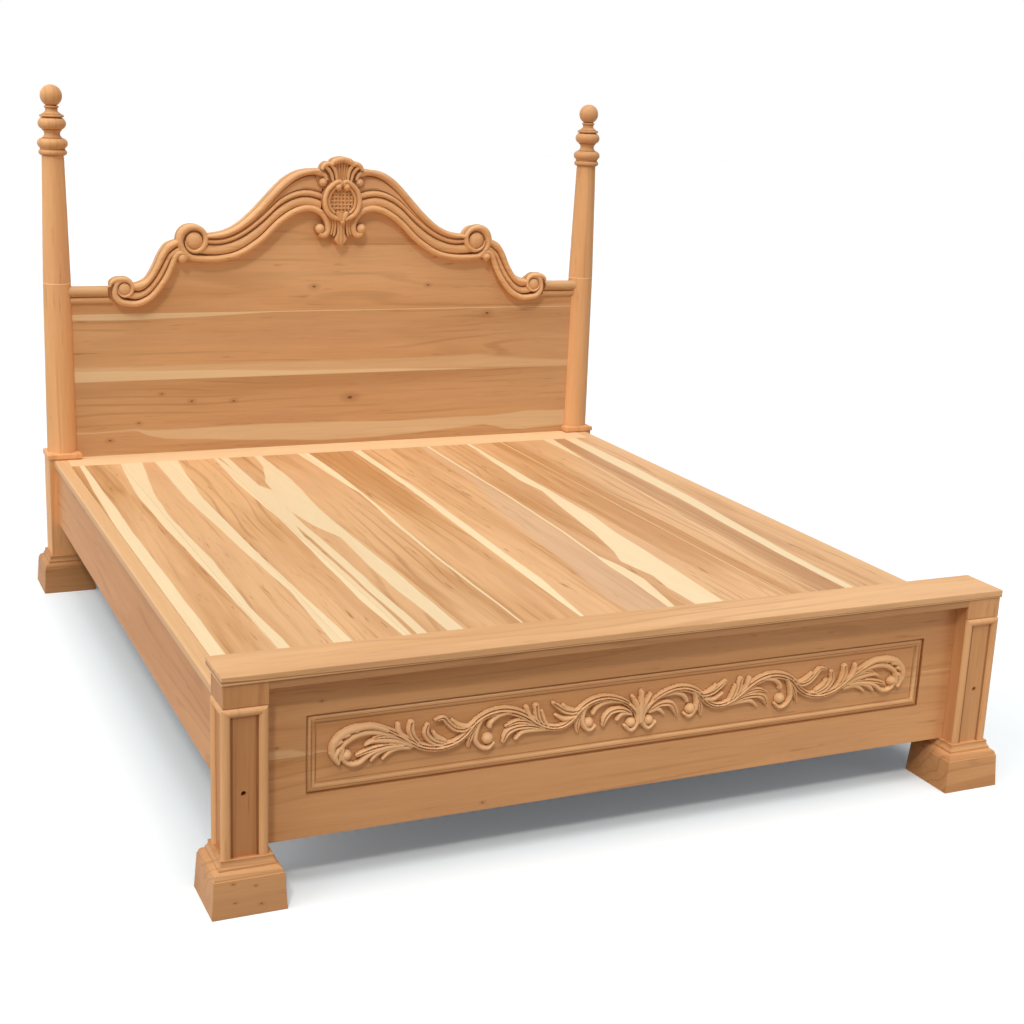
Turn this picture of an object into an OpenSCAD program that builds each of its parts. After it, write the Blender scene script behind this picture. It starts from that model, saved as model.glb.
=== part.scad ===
// Carved hardwood bed with two tall turned head posts and two low square front posts.
// Origin on the floor under the middle of the bed, +X to the right seen from the foot, +Y to the head.

/* [Overall] */
// Width over the outer faces of the posts
bed_w = 1880; // [1720:10:2200]
// Length from the front face of the front posts to the back face of the head posts
bed_len = 2255; // [1900:5:2500]
// Height of the deck above the floor
deck_top = 420; // [380:5:440]

/* [Front posts] */
// Side of the square front posts
front_post_w = 92; // [84:1:110]
// Height of the front posts under the cap board
front_post_h = 477; // [465:1:540]
// Height of the plain block at the top of a front post
front_block_h = 48; // [30:1:60]
// Width of the half-round beads that frame the post faces
post_bead_w = 20; // [14:1:24]
// Distance the beads stand out from the plain block
post_bead_out = 4; // [2:1:7]
// Depth of the recess that the beads are planted in
post_recess = 4; // [2:1:8]

/* [Plinths] */
// Height of the tapered plinth block
plinth_block_h = 79; // [60:1:100]
// Height of the moulding on top of the plinth block
plinth_mould_h = 34; // [28:1:42]
// Distance the plinth stands out from the post at its top edge
plinth_out_top = 26; // [20:1:34]
// Distance the plinth stands out from the post on the floor
plinth_out_floor = 31; // [26:1:44]

/* [Head posts] */
// Side of the square base of the head posts
head_post_w = 96; // [90:1:120]
// Height of the square base
head_base_h = 422; // [400:1:460]
// Thickness of the neck plate on the square base
neck_plate_t = 18; // [10:1:26]
// Distance the neck plate stands out from the square base
neck_plate_out = 4; // [2:1:10]
// Shaft diameter just above the neck plate
shaft_d_foot = 90; // [80:1:96]
// Shaft diameter at the glued seam
shaft_d_seam = 83; // [76:1:90]
// Shaft diameter under the finial
shaft_d_top = 65; // [56:1:74]
// Height of the seam between the lower and the upper shaft
seam_z = 965; // [955:1:1040]
// Height of the top of the upper shaft
shaft_top_z = 1346; // [1250:1:1500]
// Diameter of the ball on the finial
finial_ball_d = 64; // [50:1:76]

/* [Footboard] */
// Thickness of the cap board
cap_t = 18; // [14:1:28]
// Depth of the cap board from front to back
cap_depth = 128; // [110:1:170]
// Distance the cap stands out from the posts
cap_out = 3; // [1:1:8]
// Height of the fascia strip under the cap
fascia_h = 17; // [10:1:30]
// Distance the footboard lies behind the front of the posts
footboard_setback = 40; // [30:1:46]
// Thickness of the footboard
footboard_t = 30; // [24:1:34]
// Height of the seam between the two footboard boards
footboard_seam_z = 293; // [260:1:320]
// Width of the carved frame on the footboard, outside edges
frame_w = 1520; // [1300:10:1560]
// Height of the carved frame on the footboard, outside edges
frame_h = 170; // [140:1:200]
// Width of the bead of the carved frame
frame_bead_w = 15; // [10:1:20]
// Depth of the sunk field inside the carved frame
field_depth = 6; // [3:1:8]

/* [Side rails] */
// Thickness of the side rails
rail_t = 36; // [28:1:44]
// Height of the underside of the side rails
rail_bottom = 215; // [180:1:235]
// Distance the side rails lie in from the outer faces of the posts
rail_inset = 24; // [14:1:34]
// Width of the edging strip on the side rails
edging_w = 38; // [30:1:46]
// Distance the edging stands out from the side rails
edging_out = 8; // [4:1:12]
// Depth of the edging board along the headboard
head_edging_depth = 88; // [60:1:110]

/* [Deck] */
// Number of deck planks
plank_count = 12; // [8:1:12]
// Thickness of the deck planks and of the edging
plank_t = 20; // [16:1:26]
// Gap between neighbouring planks
plank_gap = 0.4; // [0.2:0.1:2]
// Height of the cross bearers
bearer_h = 60; // [50:1:70]
// Width of the cross bearers
bearer_w = 45; // [35:1:60]
// Number of cross bearers
bearer_count = 5; // [4:1:6]
// Height of the ledger cleats under the bearers
cleat_h = 30; // [24:1:40]
// Thickness of the ledger cleats
cleat_t = 30; // [22:1:40]

/* [Headboard] */
// Thickness of the headboard boards
headboard_t = 28; // [22:1:34]
// Number of headboard boards
headboard_boards = 5; // [4:1:5]
// Height of the lowest headboard board
low_board_h = 230; // [220:1:240]
// Height of the other headboard boards
headboard_pitch = 211; // [204:1:214]
// Depth of the grooves in the posts that hold the boards
groove_depth = 14; // [8:1:18]
// Height of the top of the half-round rail on the headboard
rail_line_z = 955; // [948:1:960]
// Height of the half-round rail on the headboard
half_round_h = 33; // [26:1:38]
// Height of the small bead under the half-round rail
small_bead_h = 20; // [14:1:24]

/* [Crest] */
// Width of the carved ribbon that forms the large volutes
ribbon_w = 17; // [13:1:18]
// Width of the carved ribbon that forms the small volutes
small_ribbon_w = 14; // [11:1:15]
// Height of the carved relief in front of the boards
relief_h = 30; // [20:1:32]
// Radius of the round cartouche in the middle of the crest
cartouche_r = 66; // [58:1:67]
// Thickness of the cartouche in front of the boards
cartouche_t = 44; // [36:1:50]

/* [Bolts] */
// Diameter of the bed bolts
bolt_d = 6; // [5:1:8]
// Height of the bed bolts above the floor
bolt_z = 247; // [240:1:270]
// Length that the bolts reach into the rails
bolt_reach = 60; // [45:1:80]
// Diameter of the wood dowels
dowel_d = 10; // [8:1:12]

/* [Hidden] */

// Colours of the timber and the hardware
heartwood = [0.80, 0.60, 0.40];
pale_wood = [0.93, 0.80, 0.58];
deep_wood = [0.72, 0.51, 0.33];
steel = [0.62, 0.63, 0.65];

// Clearances, the overshoot of the cutting shapes and the overlap of joined ones
seat = 0.2;
mitre_gap = 0.1;
bolt_clear = 0.3;
over = 1;
eps = 0.01;

// Front to back places
y_front = -bed_len / 2;
y_back = bed_len / 2;
y_post_back = y_front + front_post_w;
y_head_front = y_back - head_post_w;
y_head_mid = y_back - head_post_w / 2;
y_panel = y_front + footboard_setback;
y_panel_back = y_panel + footboard_t;
y_board = y_head_mid - headboard_t / 2;
foot_cleat_t = 35;
y_head_edging = y_head_front - head_edging_depth;

// Side to side places, measured from the middle of the bed
x_outer = bed_w / 2;
x_front_post = x_outer - front_post_w / 2;
x_head_post = x_outer - head_post_w / 2;
x_rail = x_outer - rail_inset;
x_rail_in = x_rail - rail_t;
x_rail_mid = x_rail - rail_t / 2;
x_edging_in = x_rail + edging_out - edging_w;
groove_face = head_post_w / 2 - groove_depth;
board_end = x_head_post - groove_face - seat;

// Heights
plinth_h = plinth_block_h + plinth_mould_h;
rail_top = deck_top - plank_t;
cleat_top = rail_top - bearer_h;
bead_top = front_post_h - front_block_h;
fascia_z = front_post_h - fascia_h;
neck_top = head_base_h + neck_plate_t;

// Turned parts; each finial bead is given by its crest radius, height and half thickness
finial_h = 204;
finial_beads = [[42, 8, 8], [44.5, 34, 15.5], [41, 92, 18], [35.5, 114, 4], [21.5, 140, 3.5]];
finial_cove_c = [36, 62];
finial_cove_r = 13;
finial_neck = [[0, 112], [30, 118], [26, 121], [18, 128], [18, 142], [0, 142]];
shaft_fn = 72;
spigot_d = 24;
spigot_h = 60;

// Bolts and dowels
bolt_head_d = 10;
bolt_head_h = 6;
counterbore_depth = 30;
nut_d = 10;
nut_len = 20;
socket_d = 5.8;
socket_depth = 3;
dowel_z = [300, 360];
dowel_len = 60;
cap_dowel_x = 22;
cap_dowel_y = 62;
cap_dowel_down = 28;
cap_dowel_up = 10;

// The crest is drawn for a small volute at drawn_reach; past its core it spreads to the head posts
moulding_len = 195;
crest_core = 90;
drawn_reach = 697;
crest_reach = x_head_post - moulding_len;
function spread(p) = p[0] <= crest_core ? p
  : [crest_core + (p[0] - crest_core) * (crest_reach - crest_core) / (drawn_reach - crest_core), p[1]];

// Crest lines, x from the middle of the bed and z from the top of the half-round rail
large_volute = spread([477, 145]);
small_volute = spread([drawn_reach, -15]);
large_outer = [for (p = [
  [441, 162], [384, 170], [336, 192], [288, 232], [240, 282], [192, 330], [148, 357], [104, 368], [66, 363]
]) spread(p)];
large_ribbon = [for (p = [
  [84, 157], [68, 157], [57, 174], [62, 202], [88, 230], [120, 238], [162, 226], [209, 195],
  [264, 143], [330, 101], [385, 86], [436, 85]
]) spread(p)];
small_outer = [for (p = [[663, 8], [628, 23], [603, 60], [584, 101], [562, 131], [533, 143]]) spread(p)];
small_ribbon = [for (p = [
  [505, 80], [508, 90], [519, 95], [531, 81], [546, 53], [571, 13], [612, -33], [655, -55]
]) spread(p)];
scroll_end = [[74, 363], [78, 340], [77, 316], [70, 290], [69, 268], [80, 240]];
large_turns = [46, 44, 38, 31, 25];
small_turns = [42, 37, 31, 25, 20];
curve_steps = 4;
turn_steps = 6;
marks = [0, 0.12, 0.5, 0.88, 1];
cartouche_c = [0, 267];
crown_c = [0, 338];
crown_r = 60;

// Points of a smooth curve through control points
function bend(a, b, c, d, t) =
  0.5 * (2 * b + (c - a) * t + (2 * a - 5 * b + 4 * c - d) * t * t + (3 * b - a - 3 * c + d) * t * t * t);
function on_curve(p, u) =
  let (n = len(p) - 1, k = min(floor(u * n), n - 1))
  bend(p[max(k - 1, 0)], p[k], p[k + 1], p[min(k + 2, n)], u * n - k);
function along(p, steps) =
  let (n = (len(p) - 1) * steps) [for (i = [0:n]) on_curve(p, i / n)];
function blend_list(v, u) =
  let (n = len(v) - 1, k = min(floor(u * n), n - 1)) v[k] + (v[k + 1] - v[k]) * (u * n - k);

// Points of a volute that turns in from straight below its centre
function volute(c, turns, quarter_steps) =
  let (n = (len(turns) - 1) * quarter_steps)
  [for (i = [0:n])
    let (a = -90 + 90 * i / quarter_steps) c + blend_list(turns, i / n) * [cos(a), sin(a)]];

// Direction of a path at a point, and the path moved sideways
function unit(v) = v / norm(v);
function heading(p, i) = unit(p[min(i + 1, len(p) - 1)] - p[max(i - 1, 0)]);
function side_of(p, i) = let (h = heading(p, i)) [h[1], -h[0]];
function beside(p, d) = [for (i = [0:len(p) - 1]) p[i] + d * side_of(p, i)];

// Faces round a tube of rings of n points, and the same closed by a fan at each end
function wall_faces(rings, n) =
  [for (r = [0:rings - 2], i = [0:n - 1])
    let (a = r * n + i, b = r * n + (i + 1) % n) each [[a, a + n, b], [b, a + n, b + n]]];
function tube_faces(rings, n) = let (last = (rings - 1) * n)
  concat(wall_faces(rings, n), [for (i = [1:n - 2]) each [[0, i, i + 1], [last, last + i + 1, last + i]]]);

// Left and right copies of a shape that is modelled on the right
module sided(left) {
  if (left) mirror([1, 0, 0]) children();
  else children();
}

// Square front post with recessed outer faces, grooved for the footboard and bored for the bed bolt
module front_post(left) {
  inner = x_outer - front_post_w;
  recess_h = bead_top - plinth_h;
  color(heartwood) sided(left) difference() {
    translate([inner, y_front, 0]) cube([front_post_w, front_post_w, front_post_h]);
    translate([inner - over, y_front - over, plinth_h])
      cube([front_post_w + 2 * over, post_recess + over, recess_h]);
    translate([x_outer - post_recess, y_front - over, plinth_h])
      cube([post_recess + over, front_post_w + 2 * over, recess_h]);
    translate([inner - over, y_panel - seat, plinth_h - seat])
      cube([groove_depth + over + seat, footboard_t + 2 * seat, front_post_h]);
    translate([x_rail_mid, y_front - over, bolt_z]) rotate([-90, 0, 0]) {
      cylinder(d = bolt_d + 2 * bolt_clear, h = front_post_w + 2 * over, $fn = 32);
      cylinder(d = bolt_head_d + 2 * bolt_clear, h = post_recess + counterbore_depth + over, $fn = 32);
    }
    for (z = dowel_z) translate([x_rail_mid, y_post_back - dowel_len / 2, z]) rotate([-90, 0, 0])
      cylinder(d = dowel_d + seat, h = dowel_len, $fn = 32);
    cap_dowels(seat, seat);
  }
}

// Two upright dowels between a front post and the cap, or their bores with the given clearances
module cap_dowels(wide, deep) {
  for (s = [-1, 1])
    translate([x_front_post + s * cap_dowel_x, y_front + cap_dowel_y, front_post_h - cap_dowel_down - deep])
      cylinder(d = dowel_d + wide, h = cap_dowel_down + cap_dowel_up + 2 * deep, $fn = 32);
}

// Half-round beads planted round the recesses, mitred at every corner
module front_post_beads(left) {
  r = post_bead_w / 2;
  high = bead_top - plinth_h;
  long = front_post_w + 2 * post_bead_out;
  inner = x_outer - front_post_w;
  corner = [x_outer + post_bead_out, y_front - post_bead_out, bead_top];
  inner_corner = [inner, corner[1], bead_top];
  back_corner = [corner[0], y_post_back, bead_top];
  color(heartwood) sided(left) {
    // upright on the outer corner
    difference() {
      translate([corner[0] - r, corner[1] + r, plinth_h]) cylinder(r = r, h = high, $fn = 48);
      bead_core();
      cut_above(corner, [0, -45, 0]);
      cut_above(corner, [-45, 0, 0]);
    }
    // upright beside the footboard
    difference() {
      translate([inner + r, corner[1] + r, plinth_h]) cylinder(r = r, h = high, $fn = 48);
      bead_core();
      cut_above(inner_corner, [0, 45, 0]);
    }
    // upright beside the side rail
    difference() {
      translate([corner[0] - r, y_post_back - r, plinth_h]) cylinder(r = r, h = high, $fn = 48);
      bead_core();
      cut_above(back_corner, [45, 0, 0]);
    }
    // level bead on the front face
    difference() {
      translate([inner, corner[1] + r, bead_top - r]) rotate([0, 90, 0])
        cylinder(r = r, h = long, $fn = 48);
      bead_core();
      cut_below(corner, [0, -45, 0]);
      cut_below(inner_corner, [0, 45, 0]);
      translate(corner) rotate([0, 0, 45]) translate([-mitre_gap, -bed_w, -bed_w]) cube(2 * bed_w);
    }
    // level bead on the outer face
    difference() {
      translate([corner[0] - r, corner[1], bead_top - r]) rotate([-90, 0, 0])
        cylinder(r = r, h = long, $fn = 48);
      bead_core();
      cut_below(corner, [-45, 0, 0]);
      cut_below(back_corner, [45, 0, 0]);
      translate(corner) rotate([0, 0, 45]) translate([-2 * bed_w, -bed_w, -bed_w]) cube(2 * bed_w);
    }
  }
}

// Half spaces that mitre a bead at a corner: above the turned plane, less the mitre gap, or below it
module cut_above(at, turn) {
  translate(at) rotate(turn) translate([-bed_w, -bed_w, -mitre_gap]) cube(2 * bed_w);
}
module cut_below(at, turn) {
  translate(at) rotate(turn) translate([-bed_w, -bed_w, -2 * bed_w]) cube(2 * bed_w);
}

// The recessed core of the front post that the beads are cut against
module bead_core() {
  translate([x_outer - front_post_w - over, y_front + post_recess, 0])
    cube([front_post_w + over - post_recess, front_post_w, front_post_h]);
}

// Four mitred plinth boards with a cove and an ovolo above a tapered block
module plinth(left, x_mid, y_mid, post_w) {
  half = post_w / 2;
  ovolo_r = 14;
  quirk = 2;
  cove_r = 15;
  top_out = plinth_out_top - ovolo_r;
  cove_c = [top_out + 10, plinth_mould_h - 4];
  far = half + plinth_out_floor + over;
  color(heartwood) sided(left) translate([x_mid, y_mid, 0]) for (a = [0:90:270]) rotate([0, 0, a])
    intersection() {
      rotate([90, 0, 0]) linear_extrude(height = 2 * far, center = true) translate([half, 0]) {
        polygon([
          [0, 0], [plinth_out_floor, 0], [plinth_out_top, plinth_block_h], [0, plinth_block_h]
        ]);
        translate([0, plinth_block_h]) difference() {
          union() {
            square([top_out, plinth_mould_h]);
            intersection() {
              translate([top_out - quirk, 0]) circle(r = ovolo_r, $fn = 48);
              square([plinth_out_top, ovolo_r]);
            }
          }
          translate(cove_c) circle(r = cove_r, $fn = 48);
        }
      }
      linear_extrude(height = plinth_h)
        polygon([[mitre_gap, 0], [far, mitre_gap - far], [far, far - mitre_gap]]);
    }
}

// Head post: square base, neck plate and lower shaft, with the groove for the headboard
module head_post(left) {
  plate = head_post_w + 2 * neck_plate_out;
  plate_edge = 2;
  color(heartwood) sided(left) translate([x_head_post, y_head_mid, 0]) difference() {
    union() {
      translate([-head_post_w / 2, -head_post_w / 2, 0]) cube([head_post_w, head_post_w, neck_top]);
      translate([-plate / 2, -plate / 2, head_base_h + plate_edge])
        cube([plate, plate, neck_plate_t - 2 * plate_edge]);
      lower_shaft(0);
      translate([0, 0, seam_z]) cylinder(d = spigot_d, h = spigot_h, $fn = 48);
    }
    translate([-plate / 2 - over, -headboard_t / 2 - seat, rail_bottom - seat])
      cube([plate / 2 + over - groove_face, headboard_t + 2 * seat, rail_line_z - rail_bottom + 2 * seat]);
    translate([x_rail_mid - x_head_post, head_post_w / 2 + over, bolt_z]) rotate([90, 0, 0]) {
      cylinder(d = bolt_d + 2 * bolt_clear, h = head_post_w + 2 * over, $fn = 32);
      cylinder(d = bolt_head_d + 2 * bolt_clear, h = counterbore_depth + over, $fn = 32);
    }
    for (z = dowel_z) translate([x_rail_mid - x_head_post, -head_post_w / 2 - over, z]) rotate([-90, 0, 0])
      cylinder(d = dowel_d + seat, h = dowel_len / 2 + over, $fn = 32);
  }
}

// Tapered lower shaft on the post axis, made larger by the given clearance
module lower_shaft(clear) {
  translate([0, 0, neck_top])
    cylinder(d1 = shaft_d_foot + clear, d2 = shaft_d_seam + clear, h = seam_z - neck_top, $fn = shaft_fn);
}

// Blind bore on the post axis for a spigot that stands at the given height
module spigot_bore(z) {
  translate([0, 0, z - over]) cylinder(d = spigot_d + 2 * seat, h = spigot_h + over + seat, $fn = 48);
}

// Upper shaft, bored for the spigot of the lower shaft and topped by its own spigot
module shaft(left) {
  color(heartwood) sided(left) translate([x_head_post, y_head_mid, 0]) difference() {
    union() {
      translate([0, 0, seam_z])
        cylinder(d1 = shaft_d_seam, d2 = shaft_d_top, h = shaft_top_z - seam_z, $fn = shaft_fn);
      translate([0, 0, shaft_top_z]) cylinder(d = spigot_d, h = spigot_h, $fn = 48);
    }
    spigot_bore(seam_z);
  }
}

// Half profile of a turned bead with its crest at radius r
module turned_bead(r, z, b) {
  translate([0, z - b]) square([r - b, 2 * b]);
  translate([r - b, z]) circle(r = b, $fn = 48);
}

// Finial: two beads, cove, bulb, neck, collar and ball, bored for the shaft spigot
module finial(left) {
  ball_r = finial_ball_d / 2;
  low = finial_beads[0];
  ring = finial_beads[1];
  bulb = finial_beads[2];
  cove_in = finial_cove_c[0] - 7;
  color(heartwood) sided(left) translate([x_head_post, y_head_mid, 0]) difference() {
    translate([0, 0, shaft_top_z]) rotate_extrude($fn = shaft_fn) intersection() {
      union() {
        for (b = finial_beads) turned_bead(b[0], b[1], b[2]);
        square([low[0] - 5, ring[1]]);
        difference() {
          translate([0, ring[1]]) square([cove_in, bulb[1] - ring[1]]);
          translate(finial_cove_c) circle(r = finial_cove_r, $fn = 48);
        }
        polygon(finial_neck);
        translate([0, finial_h - ball_r]) circle(r = ball_r, $fn = 64);
      }
      square([low[0] + ring[0], finial_h + over]);
    }
    spigot_bore(shaft_top_z);
  }
}

// Outline of the headboard: straight shoulders, scrolled crest and round head behind the shell
module headboard_outline() {
  inset = 3;
  low = rail_bottom - rail_line_z;
  crest = concat(along(small_outer, curve_steps), along(large_outer, curve_steps));
  half = concat(
    [[0, low], [board_end, low], [board_end, -inset], [small_volute[0], -inset]],
    [for (p = crest) p - [0, inset]],
    [[0, large_outer[len(large_outer) - 1][1] - inset]]
  );
  translate([0, rail_line_z]) for (m = [0, 1]) mirror([m, 0]) {
    polygon(half);
    translate(small_volute) circle(r = small_turns[2] + 2, $fn = 48);
    translate(large_volute) circle(r = large_turns[2] + 4, $fn = 48);
    translate(crown_c) circle(r = crown_r, $fn = 64);
  }
}

// One horizontal headboard board, tongued into the board above it
module headboard_board(i) {
  tongue_w = 8;
  tongue_h = 8;
  last = headboard_boards;
  low = i == 1 ? rail_bottom : rail_bottom + low_board_h + headboard_pitch * (i - 2);
  high = i == last ? rail_line_z + crown_c[1] + crown_r + over
    : rail_bottom + low_board_h + headboard_pitch * (i - 1);
  color(i % 2 == 0 ? heartwood : deep_wood) difference() {
    translate([0, y_head_mid, 0]) rotate([90, 0, 0]) linear_extrude(height = headboard_t, center = true)
      intersection() {
        headboard_outline();
        translate([-board_end, low]) square([2 * board_end, high - low + (i < last ? tongue_h : 0)]);
      }
    if (i < last) for (s = [0, 1]) translate([0, y_head_mid, high]) mirror([0, s, 0])
      translate([-bed_w, tongue_w / 2, 0]) cube([2 * bed_w, headboard_t, tongue_h + over]);
    if (i > 1) translate([-bed_w, y_head_mid - tongue_w / 2 - seat, low - over])
      cube([2 * bed_w, tongue_w + 2 * seat, tongue_h + over + seat]);
  }
}

// Half-round rail and small bead, from the head post to the small volute, coped to the shaft
module headboard_moulding(left) {
  volute_r = small_turns[0] + small_ribbon_w / 2 - over;
  start = small_volute[0];
  length = x_head_post - start;
  big_r = half_round_h / 2;
  small_r = small_bead_h / 2;
  color(heartwood) sided(left) difference() {
    translate([start, y_board, rail_line_z]) rotate([90, 0, 90]) linear_extrude(height = length)
      intersection() {
        union() {
          translate([0, -big_r]) circle(r = big_r, $fn = 48);
          translate([0, -half_round_h - small_r]) circle(r = small_r, $fn = 48);
        }
        translate([-half_round_h, -2 * half_round_h]) square([half_round_h, 2 * half_round_h]);
      }
    translate([start, y_board + over, rail_line_z + small_volute[1]]) rotate([90, 0, 0])
      cylinder(r = volute_r, h = 4 * big_r, $fn = 64);
    translate([x_head_post, y_head_mid, 0]) lower_shaft(2 * seat);
  }
}

// Carved band between an outer edge and a ribbon: grid of front points and flat back points
module carved_band(grid, heights) {
  rings = len(grid);
  cols = len(grid[0]);
  pts = [for (r = [0:rings - 1]) each concat(
    [for (c = [0:cols - 1]) [grid[r][c][0], y_board - heights[r][c], rail_line_z + grid[r][c][1]]],
    [for (c = [cols - 1:-1:0]) [grid[r][c][0], y_board, rail_line_z + grid[r][c][1]]]
  )];
  n = 2 * cols;
  last = (rings - 1) * n;
  ends = [for (c = [0:cols - 2])
    let (a = c, b = n - 1 - c)
    each [
      [a, a + 1, b], [a + 1, b - 1, b],
      [last + a, last + b, last + a + 1], [last + a + 1, last + b, last + b - 1]
    ]];
  polyhedron(points = pts, faces = concat(wall_faces(rings, n), ends), convexity = 10);
}

// Round-topped ribbon swept along a path, narrowing towards both ends
module ribbon(path, w, h) {
  rings = len(path);
  arc = [for (a = [180:-36:0]) [cos(a), sin(a)]];
  head_rings = 4;
  tail_rings = 10;
  pts = [for (r = [0:rings - 1])
    let (
      head = 0.5 + 0.5 * r / head_rings,
      tail = 0.45 + 0.55 * (rings - 1 - r) / tail_rings,
      half = min(1, head, tail) * w / 2,
      s = side_of(path, r),
      rim = concat([[-1, 0]], arc, [[1, 0]])
    )
    each [for (k = [0:len(rim) - 1])
      let (
        on_back = k == 0 || k == len(rim) - 1,
        across = path[r] + s * half * rim[k][0],
        out = on_back ? 0 : h - half + half * rim[k][1]
      )
      [across[0], y_board - out, rail_line_z + across[1]]]];
  polyhedron(points = pts, faces = tube_faces(rings, len(arc) + 2), convexity = 10);
}

// Height of a rounded lobe at a place from 0 to 1 across it
function lobe(f) = sqrt(max(0, 1 - (2 * f - 1) * (2 * f - 1)));

// Extra height of a profile that is drawn for the usual relief of 24
function relief_lift(profile) = [for (h = profile) relief_h - 24];

// Pull of a scroll towards its two ends at a place t from 0 to 1 along it
function pull_start(t) = pow(max(0, 1 - t / 0.3), 2);
function pull_end(t) = pow(max(0, (t - 0.75) / 0.25), 2);
function arc_point(c, r, angle) = c + r * [cos(angle), sin(angle)];

// Large S-scroll between the large volute and the cartouche: outer roll, thin rib and hollow roll
module crest_scroll_large(left) {
  rings = 25;
  line = beside(along(large_ribbon, curve_steps), -ribbon_w / 2 - seat);
  edge = [for (i = [len(line) - 1:-1:4 * curve_steps]) line[i]];
  start_r = large_turns[3] + ribbon_w / 2;
  start_arc = [155, 255];
  seam = 0.004;
  step = 0.012;
  grid = [for (r = [0:rings - 1])
    let (
      t = r / (rings - 1),
      roll_end = 0.30 - 0.10 * t,
      rib_start = 0.30 + 0.12 * t + seam,
      rib_w = 0.22 - 0.06 * t,
      hollow_start = 0.52 + 0.06 * t + step,
      hollow_w = 1 - hollow_start,
      places = concat(
        [for (m = marks) m * roll_end],
        [for (m = marks) rib_start + m * rib_w],
        [for (m = marks) hollow_start + m * hollow_w]
      )
    )
    [for (f = places) let (
      at_start = arc_point(large_volute, start_r, blend_list(start_arc, f)),
      at_end = on_curve(scroll_end, f),
      far_start = blend_list([large_outer[0], edge[0]], f),
      far_end = blend_list([large_outer[len(large_outer) - 1], edge[len(edge) - 1]], f),
      base = blend_list([on_curve(large_outer, t), on_curve(edge, t)], f)
    ) base + (at_start - far_start) * pull_start(t) + (at_end - far_end) * pull_end(t)]];
  profile = concat(
    [for (m = marks) 12 + 12 * lobe(m)],
    [for (m = marks) 10 + 8 * lobe(m)],
    [for (m = marks) 10 + 7 * lobe(m)]
  );
  color(heartwood) sided(left) carved_band(grid, [for (r = [0:rings - 1]) profile + relief_lift(profile)]);
}

// Small S-scroll between the small volute and the large volute: outer roll and hollow roll
module crest_scroll_small(left) {
  rings = 17;
  line = beside(along(small_ribbon, curve_steps), -small_ribbon_w / 2 - seat);
  edge = [for (i = [len(line) - 1:-1:3 * curve_steps]) line[i]];
  start_r = small_turns[3] + small_ribbon_w / 2;
  end_r = large_turns[0] + ribbon_w / 2 + 1;
  start_arc = [145, 250];
  end_arc = [-2, -36];
  roll_w = 0.56;
  hollow_start = 0.57;
  places = concat([for (m = marks) m * roll_w], [for (m = marks) hollow_start + m * (1 - hollow_start)]);
  grid = [for (r = [0:rings - 1])
    let (t = r / (rings - 1))
    [for (f = places) let (
      at_start = arc_point(small_volute, start_r, blend_list(start_arc, f)),
      at_end = arc_point(large_volute, end_r, blend_list(end_arc, f)),
      far_start = blend_list([small_outer[0], edge[0]], f),
      far_end = blend_list([small_outer[len(small_outer) - 1], edge[len(edge) - 1]], f),
      base = blend_list([on_curve(small_outer, t), on_curve(edge, t)], f)
    ) base + (at_start - far_start) * pull_start(t) + (at_end - far_end) * pull_end(t)]];
  profile = concat([for (m = marks) 12 + 11 * lobe(m)], [for (m = marks) 10 + 8 * lobe(m)]);
  color(heartwood) sided(left) carved_band(grid, [for (r = [0:rings - 1]) profile + relief_lift(profile)]);
}

// Ribbons that edge the scrolls and wind into the volutes, with the volute eyes and the end balls
module crest_ribbon(left) {
  large_path = concat(along(large_ribbon, curve_steps), volute(large_volute, large_turns, turn_steps));
  small_path = concat(along(small_ribbon, curve_steps), volute(small_volute, small_turns, turn_steps));
  color(heartwood) sided(left) {
    ribbon(large_path, ribbon_w, relief_h - 4);
    ribbon(small_path, small_ribbon_w, relief_h - 5);
    crest_eye(large_volute, large_turns[4] - 6, relief_h);
    crest_eye(small_volute, small_turns[4] - 5, relief_h - 1);
    crest_eye([78, 176], 11, relief_h);
    crest_eye(spread([516, 80]), 5, relief_h - 3);
  }
}

// Domed disc on the headboard
module crest_eye(c, r, h) {
  dome = r * 0.5;
  translate([c[0], y_board, rail_line_z + c[1]]) rotate([90, 0, 0]) rotate_extrude($fn = 48) {
    square([r, h - dome]);
    intersection() {
      translate([0, h - dome - (r * r - dome * dome) / (2 * dome)])
        circle(r = (r * r + dome * dome) / (2 * dome), $fn = 96);
      square([r, h]);
    }
  }
}

// Round cartouche: double rolled frame and sunk field with a lattice
module crest_cartouche() {
  field_r = cartouche_r * 0.62;
  field_t = cartouche_t * 0.5;
  frame_t = cartouche_t - 10;
  outer_roll = 8;
  inner_roll = 5;
  bar = 3;
  bar_h = 4;
  bar_pitch = 12;
  color(pale_wood) translate([cartouche_c[0], y_board, rail_line_z + cartouche_c[1]]) {
    rotate([90, 0, 0]) rotate_extrude($fn = 72) {
      square([field_r, field_t]);
      translate([field_r, 0]) square([cartouche_r - field_r, frame_t]);
      translate([cartouche_r - outer_roll, frame_t]) circle(r = outer_roll, $fn = 32);
      translate([field_r + inner_roll, frame_t]) circle(r = inner_roll, $fn = 32);
    }
    for (k = [-2:2], turn = [0, 90]) rotate([0, turn, 0]) {
      length = 2 * sqrt(pow(field_r + 2, 2) - pow(bar_pitch * k, 2)) - 2;
      translate([bar_pitch * k - bar / 2, -field_t - bar_h, -length / 2]) cube([bar, bar_h + eps, length]);
    }
  }
}

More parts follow.
